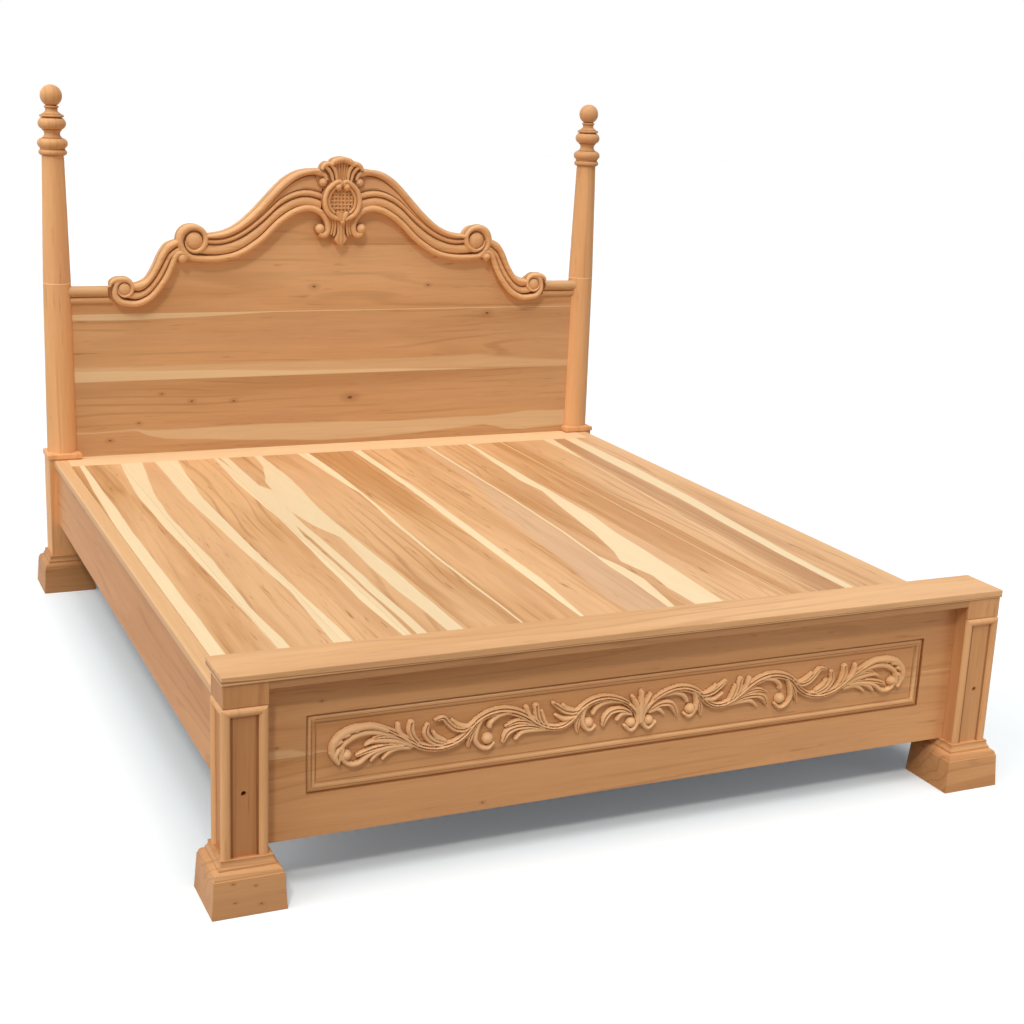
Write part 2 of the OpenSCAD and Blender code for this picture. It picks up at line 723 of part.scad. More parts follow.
// Fluted shell above the cartouche: scalloped fan of rounded lobes between two angles
module crest_shell() {
  lobes = 5;
  steps = 20;
  rows = 6;
  start_angle = 146;
  sweep = 112;
  near = cartouche_r + seat;
  grid = [for (r = [0:rows])
    [for (k = [0:steps])
      let (
        u = k / steps,
        angle = start_angle - sweep * u,
        far = near + 16 + 52 * pow(sin(180 * u), 0.9) + 6 * abs(sin(180 * lobes * u))
      )
      cartouche_c + (near + (far - near) * r / rows) * [cos(angle), sin(angle)]]];
  heights = [for (r = [0:rows])
    [for (k = [0:steps])
      let (
        v = r / rows,
        fluting = 0.35 + 0.65 * abs(sin(180 * lobes * k / steps)),
        rise = 10 * pow(v, 0.7) * fluting,
        rim_fall = 12 * pow(v, 6)
      )
      relief_h + 2 + rise - rim_fall]];
  color(pale_wood) carved_band(grid, heights);
}

// Leaf drop under the cartouche: fan of ribs that narrows to a lobed tip
module crest_leaf_drop() {
  half_widths = [30, 34, 36, 34, 26, 20, 19, 21, 19, 12, 3];
  ribs = 3;
  rib_h = 3;
  drop = 76;
  cols = 12;
  rows = len(half_widths) - 1;
  top = cartouche_c[1] - cartouche_r - seat - over;
  grid = [for (r = [0:rows])
    [for (k = [0:cols])
      let (
        v = r / rows,
        x = (2 * k / cols - 1) * half_widths[r],
        round_up = cartouche_r - sqrt(pow(cartouche_r, 2) - x * x)
      )
      [x, top - drop * v + round_up * (1 - v)]]];
  heights = [for (r = [0:rows])
    [for (k = [0:cols])
      let (
        v = r / rows,
        u = 2 * k / cols - 1,
        rib = rib_h * abs(sin(180 * ribs * k / cols)),
        edge_fall = 10 * pow(v, 3) * u * u,
        tip_fall = 8 * pow(v, 8)
      )
      relief_h - 2 + rib - edge_fall - tip_fall]];
  color(pale_wood) carved_band(grid, heights);
}

// Space cut away for one frame bead along X: a trench with a half-round ridge left in it
module frame_trench(length) {
  r = frame_bead_w / 2;
  quirk = 3;
  translate([-length / 2, 0, 0]) difference() {
    cube([length, field_depth + over, frame_bead_w + 2 * quirk]);
    translate([-over, over + r, quirk + r]) rotate([0, 90, 0])
      cylinder(r = r, h = length + 2 * over, $fn = 40);
  }
}

// Carved frame as cut out of the board face: mitred trenches on four sides and a sunk field
module frame_cut() {
  cut_w = frame_bead_w + 6;
  w = frame_w / 2;
  h = frame_h / 2;
  translate([0, y_panel - over, footboard_seam_z]) {
    for (a = [0, 180]) rotate([0, a, 0]) intersection() {
      translate([0, 0, -h]) frame_trench(frame_w);
      rotate([-90, 0, 0]) linear_extrude(height = 4 * field_depth, center = true)
        polygon([[-w, h], [w, h], [w - h, 0], [h - w, 0]]);
    }
    for (a = [90, 270]) rotate([0, a, 0]) intersection() {
      translate([0, 0, -w]) frame_trench(frame_h);
      rotate([-90, 0, 0]) linear_extrude(height = 4 * field_depth, center = true)
        polygon([[-h, w], [h, w], [0, w - h]]);
    }
    translate([cut_w - w, 0, cut_w - h]) cube([2 * (w - cut_w), field_depth + over, 2 * (h - cut_w)]);
  }
}

// One footboard board, grooved or tongued at the seam and let into the posts
module footboard_board(upper) {
  tongue = 8;
  end = x_outer - front_post_w + groove_depth;
  low = upper ? footboard_seam_z : plinth_h;
  high = upper ? front_post_h : footboard_seam_z;
  mid = y_panel + footboard_t * 0.6;
  color(upper ? heartwood : deep_wood) difference() {
    union() {
      translate([-end, y_panel, low]) cube([2 * end, footboard_t, high - low]);
      if (!upper) translate([-end, mid - tongue / 2, high - over]) cube([2 * end, tongue, tongue + over]);
    }
    if (upper) translate([-end - over, mid - tongue / 2 - seat, low - over])
      cube([2 * (end + over), tongue + 2 * seat, tongue + over + seat]);
    frame_cut();
  }
}

// Cap board over the front posts and the footboard, bored from below for the dowels
module footboard_cap() {
  color(heartwood) difference() {
    translate([-x_outer - cap_out, y_front - cap_out, front_post_h])
      cube([bed_w + 2 * cap_out, cap_depth, cap_t]);
    for (left = [true, false]) sided(left) cap_dowels(seat, seat);
  }
}

// Fascia strip under the cap, in front of the footboard and between the posts
module footboard_fascia() {
  span = bed_w - 2 * front_post_w;
  color(heartwood) translate([-span / 2, y_front, fascia_z]) cube([span, footboard_setback, fascia_h]);
}

// Side rail, bored for the bolts, the barrel nuts and the dowels
module side_rail(left) {
  nut_y = bolt_reach - nut_d;
  color(heartwood) sided(left) difference() {
    translate([x_rail_in, y_post_back, rail_bottom])
      cube([rail_t, y_head_front - y_post_back, rail_top - rail_bottom]);
    rail_end_bores(y_post_back, 1, nut_y);
    rail_end_bores(y_head_front, -1, nut_y);
  }
}

// Bores in one end of a side rail; dir is the way into the rail along Y
module rail_end_bores(y_end, dir, nut_y) {
  translate([x_rail_mid, y_end - dir, bolt_z]) rotate([-90 * dir, 0, 0])
    cylinder(d = bolt_d + 2 * bolt_clear, h = bolt_reach + bolt_d, $fn = 32);
  for (z = dowel_z) translate([x_rail_mid, y_end - dir, z]) rotate([-90 * dir, 0, 0])
    cylinder(d = dowel_d + seat, h = dowel_len / 2 + over, $fn = 32);
  translate([x_rail_in - over, y_end + dir * nut_y, bolt_z]) rotate([0, 90, 0])
    cylinder(d = nut_d + seat, h = rail_t / 2 + nut_len / 2 + over, $fn = 32);
}

// Edging strip on a side rail, with a rounded upper outer edge
module edging(left) {
  round_r = 5;
  length = y_head_front - y_post_back;
  color(pale_wood) sided(left) translate([x_edging_in, y_post_back, rail_top]) rotate([-90, 0, 0])
    linear_extrude(height = length) mirror([0, 1]) {
      square([edging_w - round_r, plank_t]);
      square([edging_w, plank_t - round_r]);
      translate([edging_w - round_r, plank_t - round_r]) circle(r = round_r, $fn = 32);
    }
}

// Edging board along the headboard, notched round the head posts
module edging_head() {
  notch = x_outer - head_post_w - seat;
  wide = x_edging_in - seat;
  color(pale_wood) translate([0, 0, rail_top]) linear_extrude(height = plank_t) polygon([
    [-wide, y_head_edging], [wide, y_head_edging], [wide, y_head_front - seat], [notch, y_head_front - seat],
    [notch, y_board], [-notch, y_board], [-notch, y_head_front - seat], [-wide, y_head_front - seat]
  ]);
}

// Cross rail between the side rails in front of the head posts
module head_cross_rail() {
  color(deep_wood) translate([-x_rail_in, y_head_front - rail_t, rail_bottom])
    cube([2 * x_rail_in, rail_t, rail_top - rail_bottom]);
}

// One deck plank, butted between the footboard and the head edging
module deck_plank(i) {
  pitch = 2 * x_edging_in / plank_count;
  left_edge = -x_edging_in + (i - 1) * pitch;
  front = y_post_back + seat;
  color(i % 3 == 0 ? pale_wood : heartwood) translate([left_edge + plank_gap / 2, front, rail_top])
    cube([pitch - plank_gap, y_head_edging - front - plank_gap, plank_t]);
}

// Ledger cleats on the side rails and behind the footboard
module ledger_cleats() {
  foot_w = 2 * (x_outer - front_post_w - seat);
  start = y_panel_back + foot_cleat_t + cleat_t;
  color(deep_wood) {
    for (left = [true, false]) sided(left)
      translate([x_rail_in - cleat_t, start, cleat_top - cleat_h])
        cube([cleat_t, y_head_front - rail_t - start, cleat_h]);
    translate([-foot_w / 2, y_panel_back, rail_top - cleat_h]) cube([foot_w, foot_cleat_t, cleat_h]);
  }
}

// Cross bearers on the ledger cleats, the last one under the joint of the planks and the head edging
module cross_bearers() {
  first = y_panel_back + foot_cleat_t;
  pitch = (y_head_edging - first) / bearer_count;
  color(deep_wood) for (k = [1:bearer_count])
    translate([-x_rail_in + seat, first + k * pitch - bearer_w / 2, cleat_top])
      cube([2 * (x_rail_in - seat), bearer_w, bearer_h]);
}

// Socket-head bed bolt with its head at the origin and its shank along +Y
module bed_bolt(shank) {
  difference() {
    rotate([-90, 0, 0]) {
      cylinder(d = bolt_head_d, h = bolt_head_h, $fn = 32);
      translate([0, 0, bolt_head_h - eps]) cylinder(d = bolt_d, h = shank + eps, $fn = 32);
    }
    translate([0, -over, 0]) rotate([-90, 0, 0]) cylinder(d = socket_d, h = socket_depth + over, $fn = 6);
  }
}

// Bed bolts through the posts into the side rails
module bed_bolts() {
  front_head = y_front + post_recess + counterbore_depth - bolt_head_h;
  front_shank = y_post_back - front_head - bolt_head_h + bolt_reach;
  back_shank = head_post_w - counterbore_depth + bolt_reach;
  color(steel) for (left = [true, false]) sided(left) {
    translate([x_rail_mid, front_head, bolt_z]) bed_bolt(front_shank);
    translate([x_rail_mid, y_back - counterbore_depth + bolt_head_h, bolt_z])
      mirror([0, 1, 0]) bed_bolt(back_shank);
  }
}

// Barrel nuts in the side rails, crossed by the bolts
module barrel_nuts() {
  nut_y = bolt_reach - nut_d;
  thread_clear = 0.1;
  color(steel) for (left = [true, false]) sided(left)
    for (y = [y_post_back + nut_y, y_head_front - nut_y]) difference() {
      translate([x_rail_mid - nut_len / 2, y, bolt_z]) rotate([0, 90, 0])
        cylinder(d = nut_d, h = nut_len, $fn = 32);
      translate([x_rail_mid, y - nut_d, bolt_z]) rotate([-90, 0, 0])
        cylinder(d = bolt_d + thread_clear, h = 2 * nut_d, $fn = 32);
    }
}

// Wood dowels between the posts and the side rails, and between the front posts and the cap
module wood_dowels() {
  trim = 1;
  color(pale_wood) for (left = [true, false]) sided(left) {
    for (y = [y_post_back, y_head_front], z = dowel_z)
      translate([x_rail_mid, y - dowel_len / 2 + trim, z]) rotate([-90, 0, 0])
        cylinder(d = dowel_d, h = dowel_len - 2 * trim, $fn = 32);
    cap_dowels(0, 0);
  }
}

front_post(true);  // front_post_left
front_post(false);  // front_post_right
front_post_beads(true);  // front_post_beads_left
front_post_beads(false);  // front_post_beads_right
plinth(true, x_front_post, y_front + front_post_w / 2, front_post_w);  // plinth_front_left
plinth(false, x_front_post, y_front + front_post_w / 2, front_post_w);  // plinth_front_right
plinth(true, x_head_post, y_head_mid, head_post_w);  // plinth_head_left
plinth(false, x_head_post, y_head_mid, head_post_w);  // plinth_head_right
head_post(true);  // head_post_left
head_post(false);  // head_post_right
shaft(true);  // shaft_left
shaft(false);  // shaft_right
finial(true);  // finial_left
finial(false);  // finial_right
for (i = [1:headboard_boards]) headboard_board(i);
headboard_moulding(true);  // headboard_moulding_left
headboard_moulding(false);  // headboard_moulding_right
crest_scroll_large(true);  // crest_scroll_large_left
crest_scroll_large(false);  // crest_scroll_large_right
crest_scroll_small(true);  // crest_scroll_small_left
crest_scroll_small(false);  // crest_scroll_small_right
crest_ribbon(true);  // crest_ribbon_left
crest_ribbon(false);  // crest_ribbon_right
crest_cartouche();
crest_shell();
crest_leaf_drop();
footboard_board(true);  // footboard_board_upper
footboard_board(false);  // footboard_board_lower
footboard_cap();
footboard_fascia();
side_rail(true);  // side_rail_left
side_rail(false);  // side_rail_right
edging(true);  // edging_left
edging(false);  // edging_right
edging_head();
head_cross_rail();
for (i = [1:plank_count]) deck_plank(i);
ledger_cleats();
cross_bearers();
bed_bolts();
barrel_nuts();
wood_dowels();
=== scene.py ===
"""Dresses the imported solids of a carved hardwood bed: timber, crest carving, footboard carving and turned posts."""

import logging
import math
from collections.abc import Callable, Mapping, Sequence
from dataclasses import dataclass, field, replace
from enum import Enum, StrEnum

import bmesh
import bpy
import numpy as np
from mathutils import Matrix, Vector


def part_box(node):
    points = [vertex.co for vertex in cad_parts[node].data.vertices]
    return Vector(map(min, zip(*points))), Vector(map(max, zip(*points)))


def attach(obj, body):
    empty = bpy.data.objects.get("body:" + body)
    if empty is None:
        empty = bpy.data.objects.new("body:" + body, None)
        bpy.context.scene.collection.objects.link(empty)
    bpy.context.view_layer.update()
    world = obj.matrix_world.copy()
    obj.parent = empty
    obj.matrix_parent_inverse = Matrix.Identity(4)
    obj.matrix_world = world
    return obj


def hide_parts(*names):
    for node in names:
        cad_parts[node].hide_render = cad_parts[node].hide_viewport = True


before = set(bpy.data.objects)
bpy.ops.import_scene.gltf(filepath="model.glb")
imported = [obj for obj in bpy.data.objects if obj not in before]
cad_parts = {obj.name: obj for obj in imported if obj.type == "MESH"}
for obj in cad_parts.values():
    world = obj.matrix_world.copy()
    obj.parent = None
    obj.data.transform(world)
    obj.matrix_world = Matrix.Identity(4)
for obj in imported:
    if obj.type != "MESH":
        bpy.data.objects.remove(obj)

log = logging.getLogger("bed")
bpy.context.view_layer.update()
ROOT = "root"
MM = 0.001

Place = tuple[float, float]
Triple = tuple[float, float, float]
Colour = Triple
Points = np.ndarray
Stroke = tuple[tuple[Place, ...], tuple[float, ...], float, bool]


def srgb(code: str) -> Colour:
    """Turns a six-digit sRGB colour code into linear values by the standard sRGB curve.

    Args:
        code: Hexadecimal red, green and blue.

    Returns:
        Linear red, green and blue from 0 to 1.
    """
    parts = [int(code[i : i + 2], 16) / 255 for i in (0, 2, 4)]
    return tuple(c / 12.92 if c <= 0.04045 else ((c + 0.055) / 1.055) ** 2.4 for c in parts)


# ---- shader maths ----


def maths(operation: str, turned: bool = False) -> "Callable[..., Value]":
    """An operator of a shader value.

    Args:
        operation: Blender's name of the operation.
        turned: Whether the value itself comes last, as in a reflected operator.

    Returns:
        A method that adds one Math node.
    """

    def apply(self: "Value", *others: "Value | float") -> "Value":
        """Adds the node for the value and any others."""
        values = (*others, self) if turned else (self, *others)
        return self.graph.node("ShaderNodeMath", {"operation": operation}, dict(enumerate(values)))

    return apply


class Value:
    """A single shader value. Operators on it and on numbers add Math nodes to its graph."""

    __add__ = __radd__ = maths("ADD")
    __sub__, __rsub__ = maths("SUBTRACT"), maths("SUBTRACT", turned=True)
    __mul__ = __rmul__ = maths("MULTIPLY")
    __truediv__, __rtruediv__ = maths("DIVIDE"), maths("DIVIDE", turned=True)
    __pow__ = maths("POWER")
    sine = maths("SINE")
    root = maths("SQRT")
    most = maths("MAXIMUM")

    def __init__(self, graph: "Graph", socket: bpy.types.NodeSocket) -> None:
        """Wraps one output socket of a graph."""
        self.graph = graph
        self.socket = socket

    def rise(self, low: float, high: float) -> "Value":
        """Smooth step of the value.

        Args:
            low: Where it is 0.
            high: Where it is 1. It may lie below low.

        Returns:
            The step.
        """
        ends = {1: low, 2: high} if low <= high else {1: high, 2: low, 3: 1.0, 4: 0.0}
        settings = {"interpolation_type": "SMOOTHSTEP", "clamp": True}
        return self.graph.node("ShaderNodeMapRange", settings, {0: self, **ends})


class Graph:
    """The node graph of one material or world."""

    def __init__(self, owner: bpy.types.Material | bpy.types.World) -> None:
        """Empties the owner's node tree so that it can be filled.

        Args:
            owner: The material or world.
        """
        owner.use_nodes = True
        self.tree = owner.node_tree
        self.tree.nodes.clear()

    def node(
        self, kind: str, settings: Mapping | None = None, inputs: Mapping | None = None, output: int | str = 0
    ) -> Value | None:
        """Adds a node.

        Args:
            kind: Blender's name of the node type.
            settings: Properties that are set first; the stops of a ramp go under "stops".
            inputs: Value or link for each input, by name or place.
            output: Name or place of the output that is returned.

        Returns:
            The chosen output as a value, or None where the node has no output.
        """
        item = self.tree.nodes.new(kind)
        for key, setting in (settings or {}).items():
            if key == "stops":
                self._set_stops(item.color_ramp, setting)
            else:
                setattr(item, key, setting)
        for key, value in (inputs or {}).items():
            socket = item.inputs[key]
            if isinstance(value, Value):
                self.tree.links.new(value.socket, socket)
            elif isinstance(value, tuple):
                socket.default_value = (*value, 1.0)
            else:
                socket.default_value = value
        return Value(self, item.outputs[output]) if len(item.outputs) else None

    @staticmethod
    def _set_stops(ramp: bpy.types.ColorRamp, stops: Sequence[tuple[float, Colour]]) -> None:
        """Fills a colour ramp.

        Args:
            ramp: The ramp.
            stops: Place and colour of each stop.
        """
        while len(ramp.elements) < len(stops):
            ramp.elements.new(1.0)
        for element, (place, colour) in zip(ramp.elements, stops):
            element.position = place
            element.color = (*colour, 1.0)

    def mix(self, share: Value | float, first: Value | Colour, second: Value | Colour, blend: str = "MIX") -> Value:
        """Mixes two colours by a share."""
        settings = {"data_type": "RGBA", "blend_type": blend, "clamp_factor": True}
        return self.node("ShaderNodeMix", settings, {0: share, 6: first, 7: second}, 2)

    def split(self, vector: Value) -> tuple[Value, Value, Value]:
        """The three parts of a vector or colour."""
        first = self.node("ShaderNodeSeparateXYZ", None, {0: vector})
        return tuple(Value(self, socket) for socket in first.socket.node.outputs)

    def join(self, x: Value | float, y: Value | float, z: Value | float) -> Value:
        """A vector from three values."""
        return self.node("ShaderNodeCombineXYZ", None, {0: x, 1: y, 2: z})

    def noise(self, vector: Value, scale: float, detail: float = 2.0, rough: float = 0.5, twist: float = 0.0) -> Value:
        """Noise from 0 to 1 at a vector."""
        levels = {"Scale": scale, "Detail": detail, "Roughness": rough, "Distortion": twist}
        return self.node("ShaderNodeTexNoise", {"noise_dimensions": "3D"}, {"Vector": vector, **levels})

    def surface(self, **inputs: Value | Colour | float) -> None:
        """Ends a material in a Principled shader.

        Args:
            inputs: The shader's inputs, with an underscore for a space in their names.
        """
        named = {key.replace("_", " "): value for key, value in inputs.items()}
        shader = self.node("ShaderNodeBsdfPrincipled", None, named)
        self.node("ShaderNodeOutputMaterial", None, {"Surface": shader})


def fresh(name: str) -> tuple[bpy.types.Material, Graph]:
    """A new material and its empty graph."""
    made = bpy.data.materials.new(name)
    return made, Graph(made)


# ---- finishes ----


class Axis(Enum):
    """The direction of the grain: its own axis, the one across the face and the one into the timber."""

    X = (0, 2, 1)
    Y = (1, 0, 2)
    Z = (2, 0, 1)


class Tint(Enum):
    """What a streak in the timber is made of: sapwood, dark wood, and painted highlights, sheen and shade."""

    SAP = "sap"
    BLEACHED = "bleached"
    DARK = "dark"


@dataclass(frozen=True)
class Streak:
    """A streak along the grain, given by its two edges at a few stations, in millimetres.

    Where the edges cross, so that the first lies above the second, the streak ends. Some are painted shade and
    highlights.
    """

    stations: tuple[Triple, ...]
    tint: Tint = Tint.SAP
    strength: float = 1.0
    soft: float = 2.0
    wander: float = 5.0

    @classmethod
    def patch(
        cls, along: Place, across: Place, run: float, cross: float, tint: Tint, strength: float, soft: float
    ) -> "Streak":
        """A straight-edged patch of timber, such as a line round a turned part.

        Args:
            along: Where it starts and ends along the grain.
            across: Its two edges across the grain.
            run: How far past both ends the edges have crossed.
            cross: By how much they have crossed there, each from the middle.
            tint: What it is made of.
            strength: How much of it shows.
            soft: Softness of its edges.

        Returns:
            The streak, which doesn't wander.
        """
        (first, last), middle = along, sum(across) / 2
        stop = (middle + cross, middle - cross)
        stations = ((first - run, *stop), (first, *across), (last, *across), (last + run, *stop))
        return cls(stations, tint, strength, soft, 0.0)

    def reaches(self, low: float, high: float) -> bool:
        """Whether any of it lies between two places across the grain."""
        return min(s[1] for s in self.stations) < high and max(s[2] for s in self.stations) > low


@dataclass(frozen=True)
class Knot:
    """A knot at a place along and across the grain, in millimetres."""

    along: float
    across: float
    radius: float = 5.0


class Grain:
    """Where each point of a piece lies along, across and into its grain, and the noises that follow the grain."""

    def __init__(self, graph: Graph, axis: Axis, seed: float) -> None:
        """Reads the points and works out the noises.

        Args:
            graph: Graph of the material.
            axis: Direction of the grain.
            seed: Moves the noises, so that no two pieces are alike.
        """
        parts = graph.split(graph.node("ShaderNodeTexCoord", output="Object"))
        self.graph = graph
        self.along, self.across, self.into = (parts[i] for i in axis.value)
        self.shift = seed * 3.7
        self.broad = self._noise(0.6, 5.5, (1, 1), 2.0, 0.45, 0.3)
        self.cloud = self._noise(1.7, 9.0, (-1, 1), 2.0, 0.5, 0.3)
        self.mid = self._noise(1.8, 30.0, (1, 1), 3.0, 0.5, 0.5)
        self.fine = self._noise(9.0, 240.0, (0, 1), 2.0, 0.6)
        self.fleck = self._noise(11.0, 120.0, (1, 0), 1.5, 0.5, 0.4)
        self.bend = self._noise(5.0, 5.0, (1, 0), 2.0, 0.5)

    def _noise(
        self, along: float, across: float, drift: Place, detail: float, rough: float, twist: float = 0.0
    ) -> Value:
        """Noise that is long along the grain.

        Args:
            along: Changes a metre along the grain.
            across: Changes a metre across and into it.
            drift: How far the seed moves it along and across.
            detail: Number of finer levels.
            rough: Strength of the finer levels.
            twist: Distortion.

        Returns:
            Noise from 0 to 1.
        """
        x = self.along * along + drift[0] * self.shift
        y = self.across * across + drift[1] * self.shift
        return self.graph.noise(self.graph.join(x, y, self.into * across), 1.0, detail, rough, twist)


@dataclass(frozen=True)
class Timber:
    """Sanded, unfinished hardwood with its figure, sapwood streaks and knots; carved pieces also get painted shade in
    their hollows.
    """

    grain: Axis
    seed: float = 0.0
    tone: float = 1.0
    warmth: float = 1.0
    figure: float = 1.0
    cream: float = 0.0
    streaks: tuple[Streak, ...] = ()
    knots: tuple[Knot, ...] = ()
    # Strength of the painted shade in the hollows of a carved piece.
    painted_crease_shade: float = 0.0

    light: Colour = srgb("e6b786")
    deep: Colour = srgb("cf9c69")
    rose: Colour = srgb("d6a57c")
    line: Colour = srgb("9e693e")
    sap: Colour = srgb("f6deb4")
    bleached: Colour = srgb("dfbc9c")
    knot: Colour = srgb("7d4a26")
    # Colour of the painted shade in hollows.
    shade: Colour = srgb("7a4220")

    def toned(self, seed: float = 0.0, tone: float = 1.0, **changes: object) -> "Timber":
        """The same timber from another part of the log: seed moved on, tone multiplied, other fields replaced."""
        return replace(self, seed=self.seed + seed, tone=self.tone * tone, **changes)

    def material(self, name: str) -> bpy.types.Material:
        """Builds the timber material.

        Args:
            name: Name of the new material.

        Returns:
            The material.
        """
        made, g = fresh(name)
        grain = Grain(g, self.grain, self.seed)
        colour = self._figured(grain)
        for streak in self.streaks:
            colour = self._streaked(grain, colour, streak)
        for spot in self.knots:
            colour = self._knotted(grain, colour, spot)
        pores = g.mix(grain.fine.rise(0.30, 0.70), (0.965, 0.955, 0.94), (1.02, 1.02, 1.02))
        colour = g.mix(1.0, colour, pores, "MULTIPLY")
        hue = tuple(self.tone * (2 - self.warmth) ** power for power in (0, 1, 2))
        colour = g.mix(1.0, colour, hue, "MULTIPLY")
        # Painted shade: the crease attribute darkens the hollows and flanks of a carved piece towards the shade colour.
        if self.painted_crease_shade:
            crease_shade = g.node("ShaderNodeAttribute", {"attribute_name": "crease_shade"}, output="Fac")
            colour = g.mix(crease_shade.rise(0.22, 0.95) * self.painted_crease_shade, colour, self.shade)
        bump = g.node("ShaderNodeBump", None, {"Strength": 0.25, "Distance": 0.0004, "Height": grain.fine})
        g.surface(Base_Color=colour, Roughness=grain.fine * 0.12 + 0.50, Normal=bump, Specular_IOR_Level=0.28)
        return made

    def _figured(self, grain: Grain) -> Value:
        """The plain figure: light and deep wood, rosy clouds, growth lines and flecks.

        Args:
            grain: Grain of the piece.

        Returns:
            The colour.
        """
        g, broad, cloud, mid, figure = grain.graph, grain.broad, grain.cloud, grain.mid, self.figure
        share = (broad - 0.5) * (1.9 * figure) + (mid - 0.5) * (0.75 * figure) + 0.45
        colour = g.mix(share.rise(0.0, 1.0), self.light, self.deep)
        colour = g.mix(cloud.rise(0.52, 0.72) * 0.45, colour, self.rose)
        rings = ((grain.across + grain.into * 0.6) * 190.0 + broad * 44.0 + mid * 2.5).sine()
        lines = rings.rise(0.55, 1.0) * cloud.rise(0.58, 0.40) * (0.26 * figure)
        flecks = grain.fleck.rise(0.60, 0.80) * mid.rise(0.42, 0.62) * (0.55 * figure)
        colour = g.mix(lines.most(flecks), colour, self.line)
        return g.mix(self.cream, colour, self.sap) if self.cream else colour

    def _streaked(self, grain: Grain, colour: Value, streak: Streak) -> Value:
        """Lays a streak over a colour.

        The edges come from a ramp along the grain, whose red and green hold the two edges. They wander with noise.

        Args:
            grain: Grain of the piece.
            colour: Colour of the timber round it.
            streak: The streak.

        Returns:
            The colour with the streak.
        """
        g, mid = grain.graph, grain.mid
        first, last = streak.stations[0][0] * MM, streak.stations[-1][0] * MM
        edges = [s[i] * MM for s in streak.stations for i in (1, 2)]
        low = min(edges)
        span = max(max(edges) - low, MM)
        stops = [
            ((s[0] * MM - first) / (last - first), ((s[1] * MM - low) / span, (s[2] * MM - low) / span, 0.0))
            for s in streak.stations
        ]
        place = (grain.along - first) / (last - first) + (mid - 0.5) * 0.02
        one, two, _ = g.split(g.node("ShaderNodeValToRGB", {"stops": stops}, {0: place}))
        wander = (grain.bend - 0.5) * (streak.wander * 2 * MM) + (mid - 0.5) * (streak.wander * 0.5 * MM)
        position = grain.across + wander
        soft = streak.soft * MM
        inside = (position - (one * span + low)).rise(-soft, soft) * ((two * span + low) - position).rise(-soft, soft)
        # Dark streaks take the growth lines' colour, also where they are painted shade; sap streaks also serve as
        # painted highlights.
        tone = {Tint.SAP: self.sap, Tint.BLEACHED: self.bleached, Tint.DARK: self.line}[streak.tint]
        grained = g.mix((mid * 0.5 + grain.fine * 0.5).rise(0.45, 0.75) * 0.30, tone, self.light)
        return g.mix(inside * streak.strength, colour, grained)

    def _knotted(self, grain: Grain, colour: Value, spot: Knot) -> Value:
        """Darkens a colour round a knot: a small dark eye in a soft halo that is long along the grain.

        Args:
            grain: Grain of the piece.
            colour: Colour of the timber round it.
            spot: The knot.

        Returns:
            The colour with the knot.
        """
        g, size = grain.graph, spot.radius * MM
        away = ((grain.along - spot.along * MM) * 0.55) ** 2.0 + (grain.across - spot.across * MM) ** 2.0
        distance = away.root() + (grain.mid - 0.5) * (size * 0.8)
        halo = distance.rise(size * 4.5, size * 0.6) * 0.35
        eye = distance.rise(size * 1.05, size * 0.45) * 0.9
        return g.mix(eye, g.mix(halo, colour, self.line), self.knot)


@dataclass(frozen=True)
class Steel:
    """Zinc-plated steel of the bolts and nuts."""

    colour: Colour = (0.62, 0.63, 0.65)
    roughness: float = 0.22

    def material(self, name: str) -> bpy.types.Material:
        """Builds the steel material with fine turning marks.

        Args:
            name: Name of the new material.

        Returns:
            The material.
        """
        made, g = fresh(name)
        marks = g.noise(g.node("ShaderNodeTexCoord", output="Object"), 900.0, 3.0, 0.6)
        colour = g.mix(marks.rise(0.35, 0.7), self.colour, tuple(c * 0.8 for c in self.colour))
        g.surface(Base_Color=colour, Metallic=1.0, Roughness=marks * 0.2 + self.roughness)
        return made


# ---- meshes ----

# Points closer than MERGED are merged, edges that turn by less than FLAT dissolved and those above SHARP rounded.
# A strip of a round is narrower than NARROW and turns by LEAST to CURVED from the next. Metres and degrees.
MERGED, NARROW = 1e-5, 0.012
FLAT, SHARP, LEAST, CURVED = 0.6, 30.0, 0.5, 35.0


def placed(name: str, data: bpy.types.ID, **settings: object) -> bpy.types.Object:
    """Puts an object into the scene.

    Args:
        name: Name of the object.
        data: Its mesh, lamp or camera.
        settings: Properties of that data.

    Returns:
        The object.
    """
    for key, value in settings.items():
        setattr(data, key, value)
    thing = bpy.data.objects.new(name, data)
    bpy.context.scene.collection.objects.link(thing)
    return thing


def new_piece(
    name: str, mesh: bpy.types.Mesh, finish: bpy.types.Material, node: str, stands_in: bool = True
) -> bpy.types.Object:
    """Puts a mesh into the scene as a piece of the bed.

    Args:
        name: Name of the piece.
        mesh: The mesh, with its place in its points.
        finish: Material of the piece.
        node: CAD node that it goes with.
        stands_in: Whether it replaces that node.

    Returns:
        The new object.
    """
    piece = placed(name, mesh)
    mesh.materials.clear()
    mesh.materials.append(finish)
    if stands_in:
        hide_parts(node)
    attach(piece, ROOT)
    log.info("%s: %d faces, with %s", name, len(mesh.polygons), node)
    return piece


def grid_faces(rows: int, columns: int) -> Points:
    """Corner numbers of the quads of a tube's points, row by row, the last column joined to the first.

    Args:
        rows: Number of rows of points.
        columns: Number of points in a row.

    Returns:
        One row of four corners a quad.
    """
    r, c = (n.ravel() for n in np.meshgrid(np.arange(rows - 1), np.arange(columns), indexing="ij"))
    c1 = (c + 1) % columns
    return np.stack([r * columns + c, r * columns + c1, (r + 1) * columns + c1, (r + 1) * columns + c], 1)


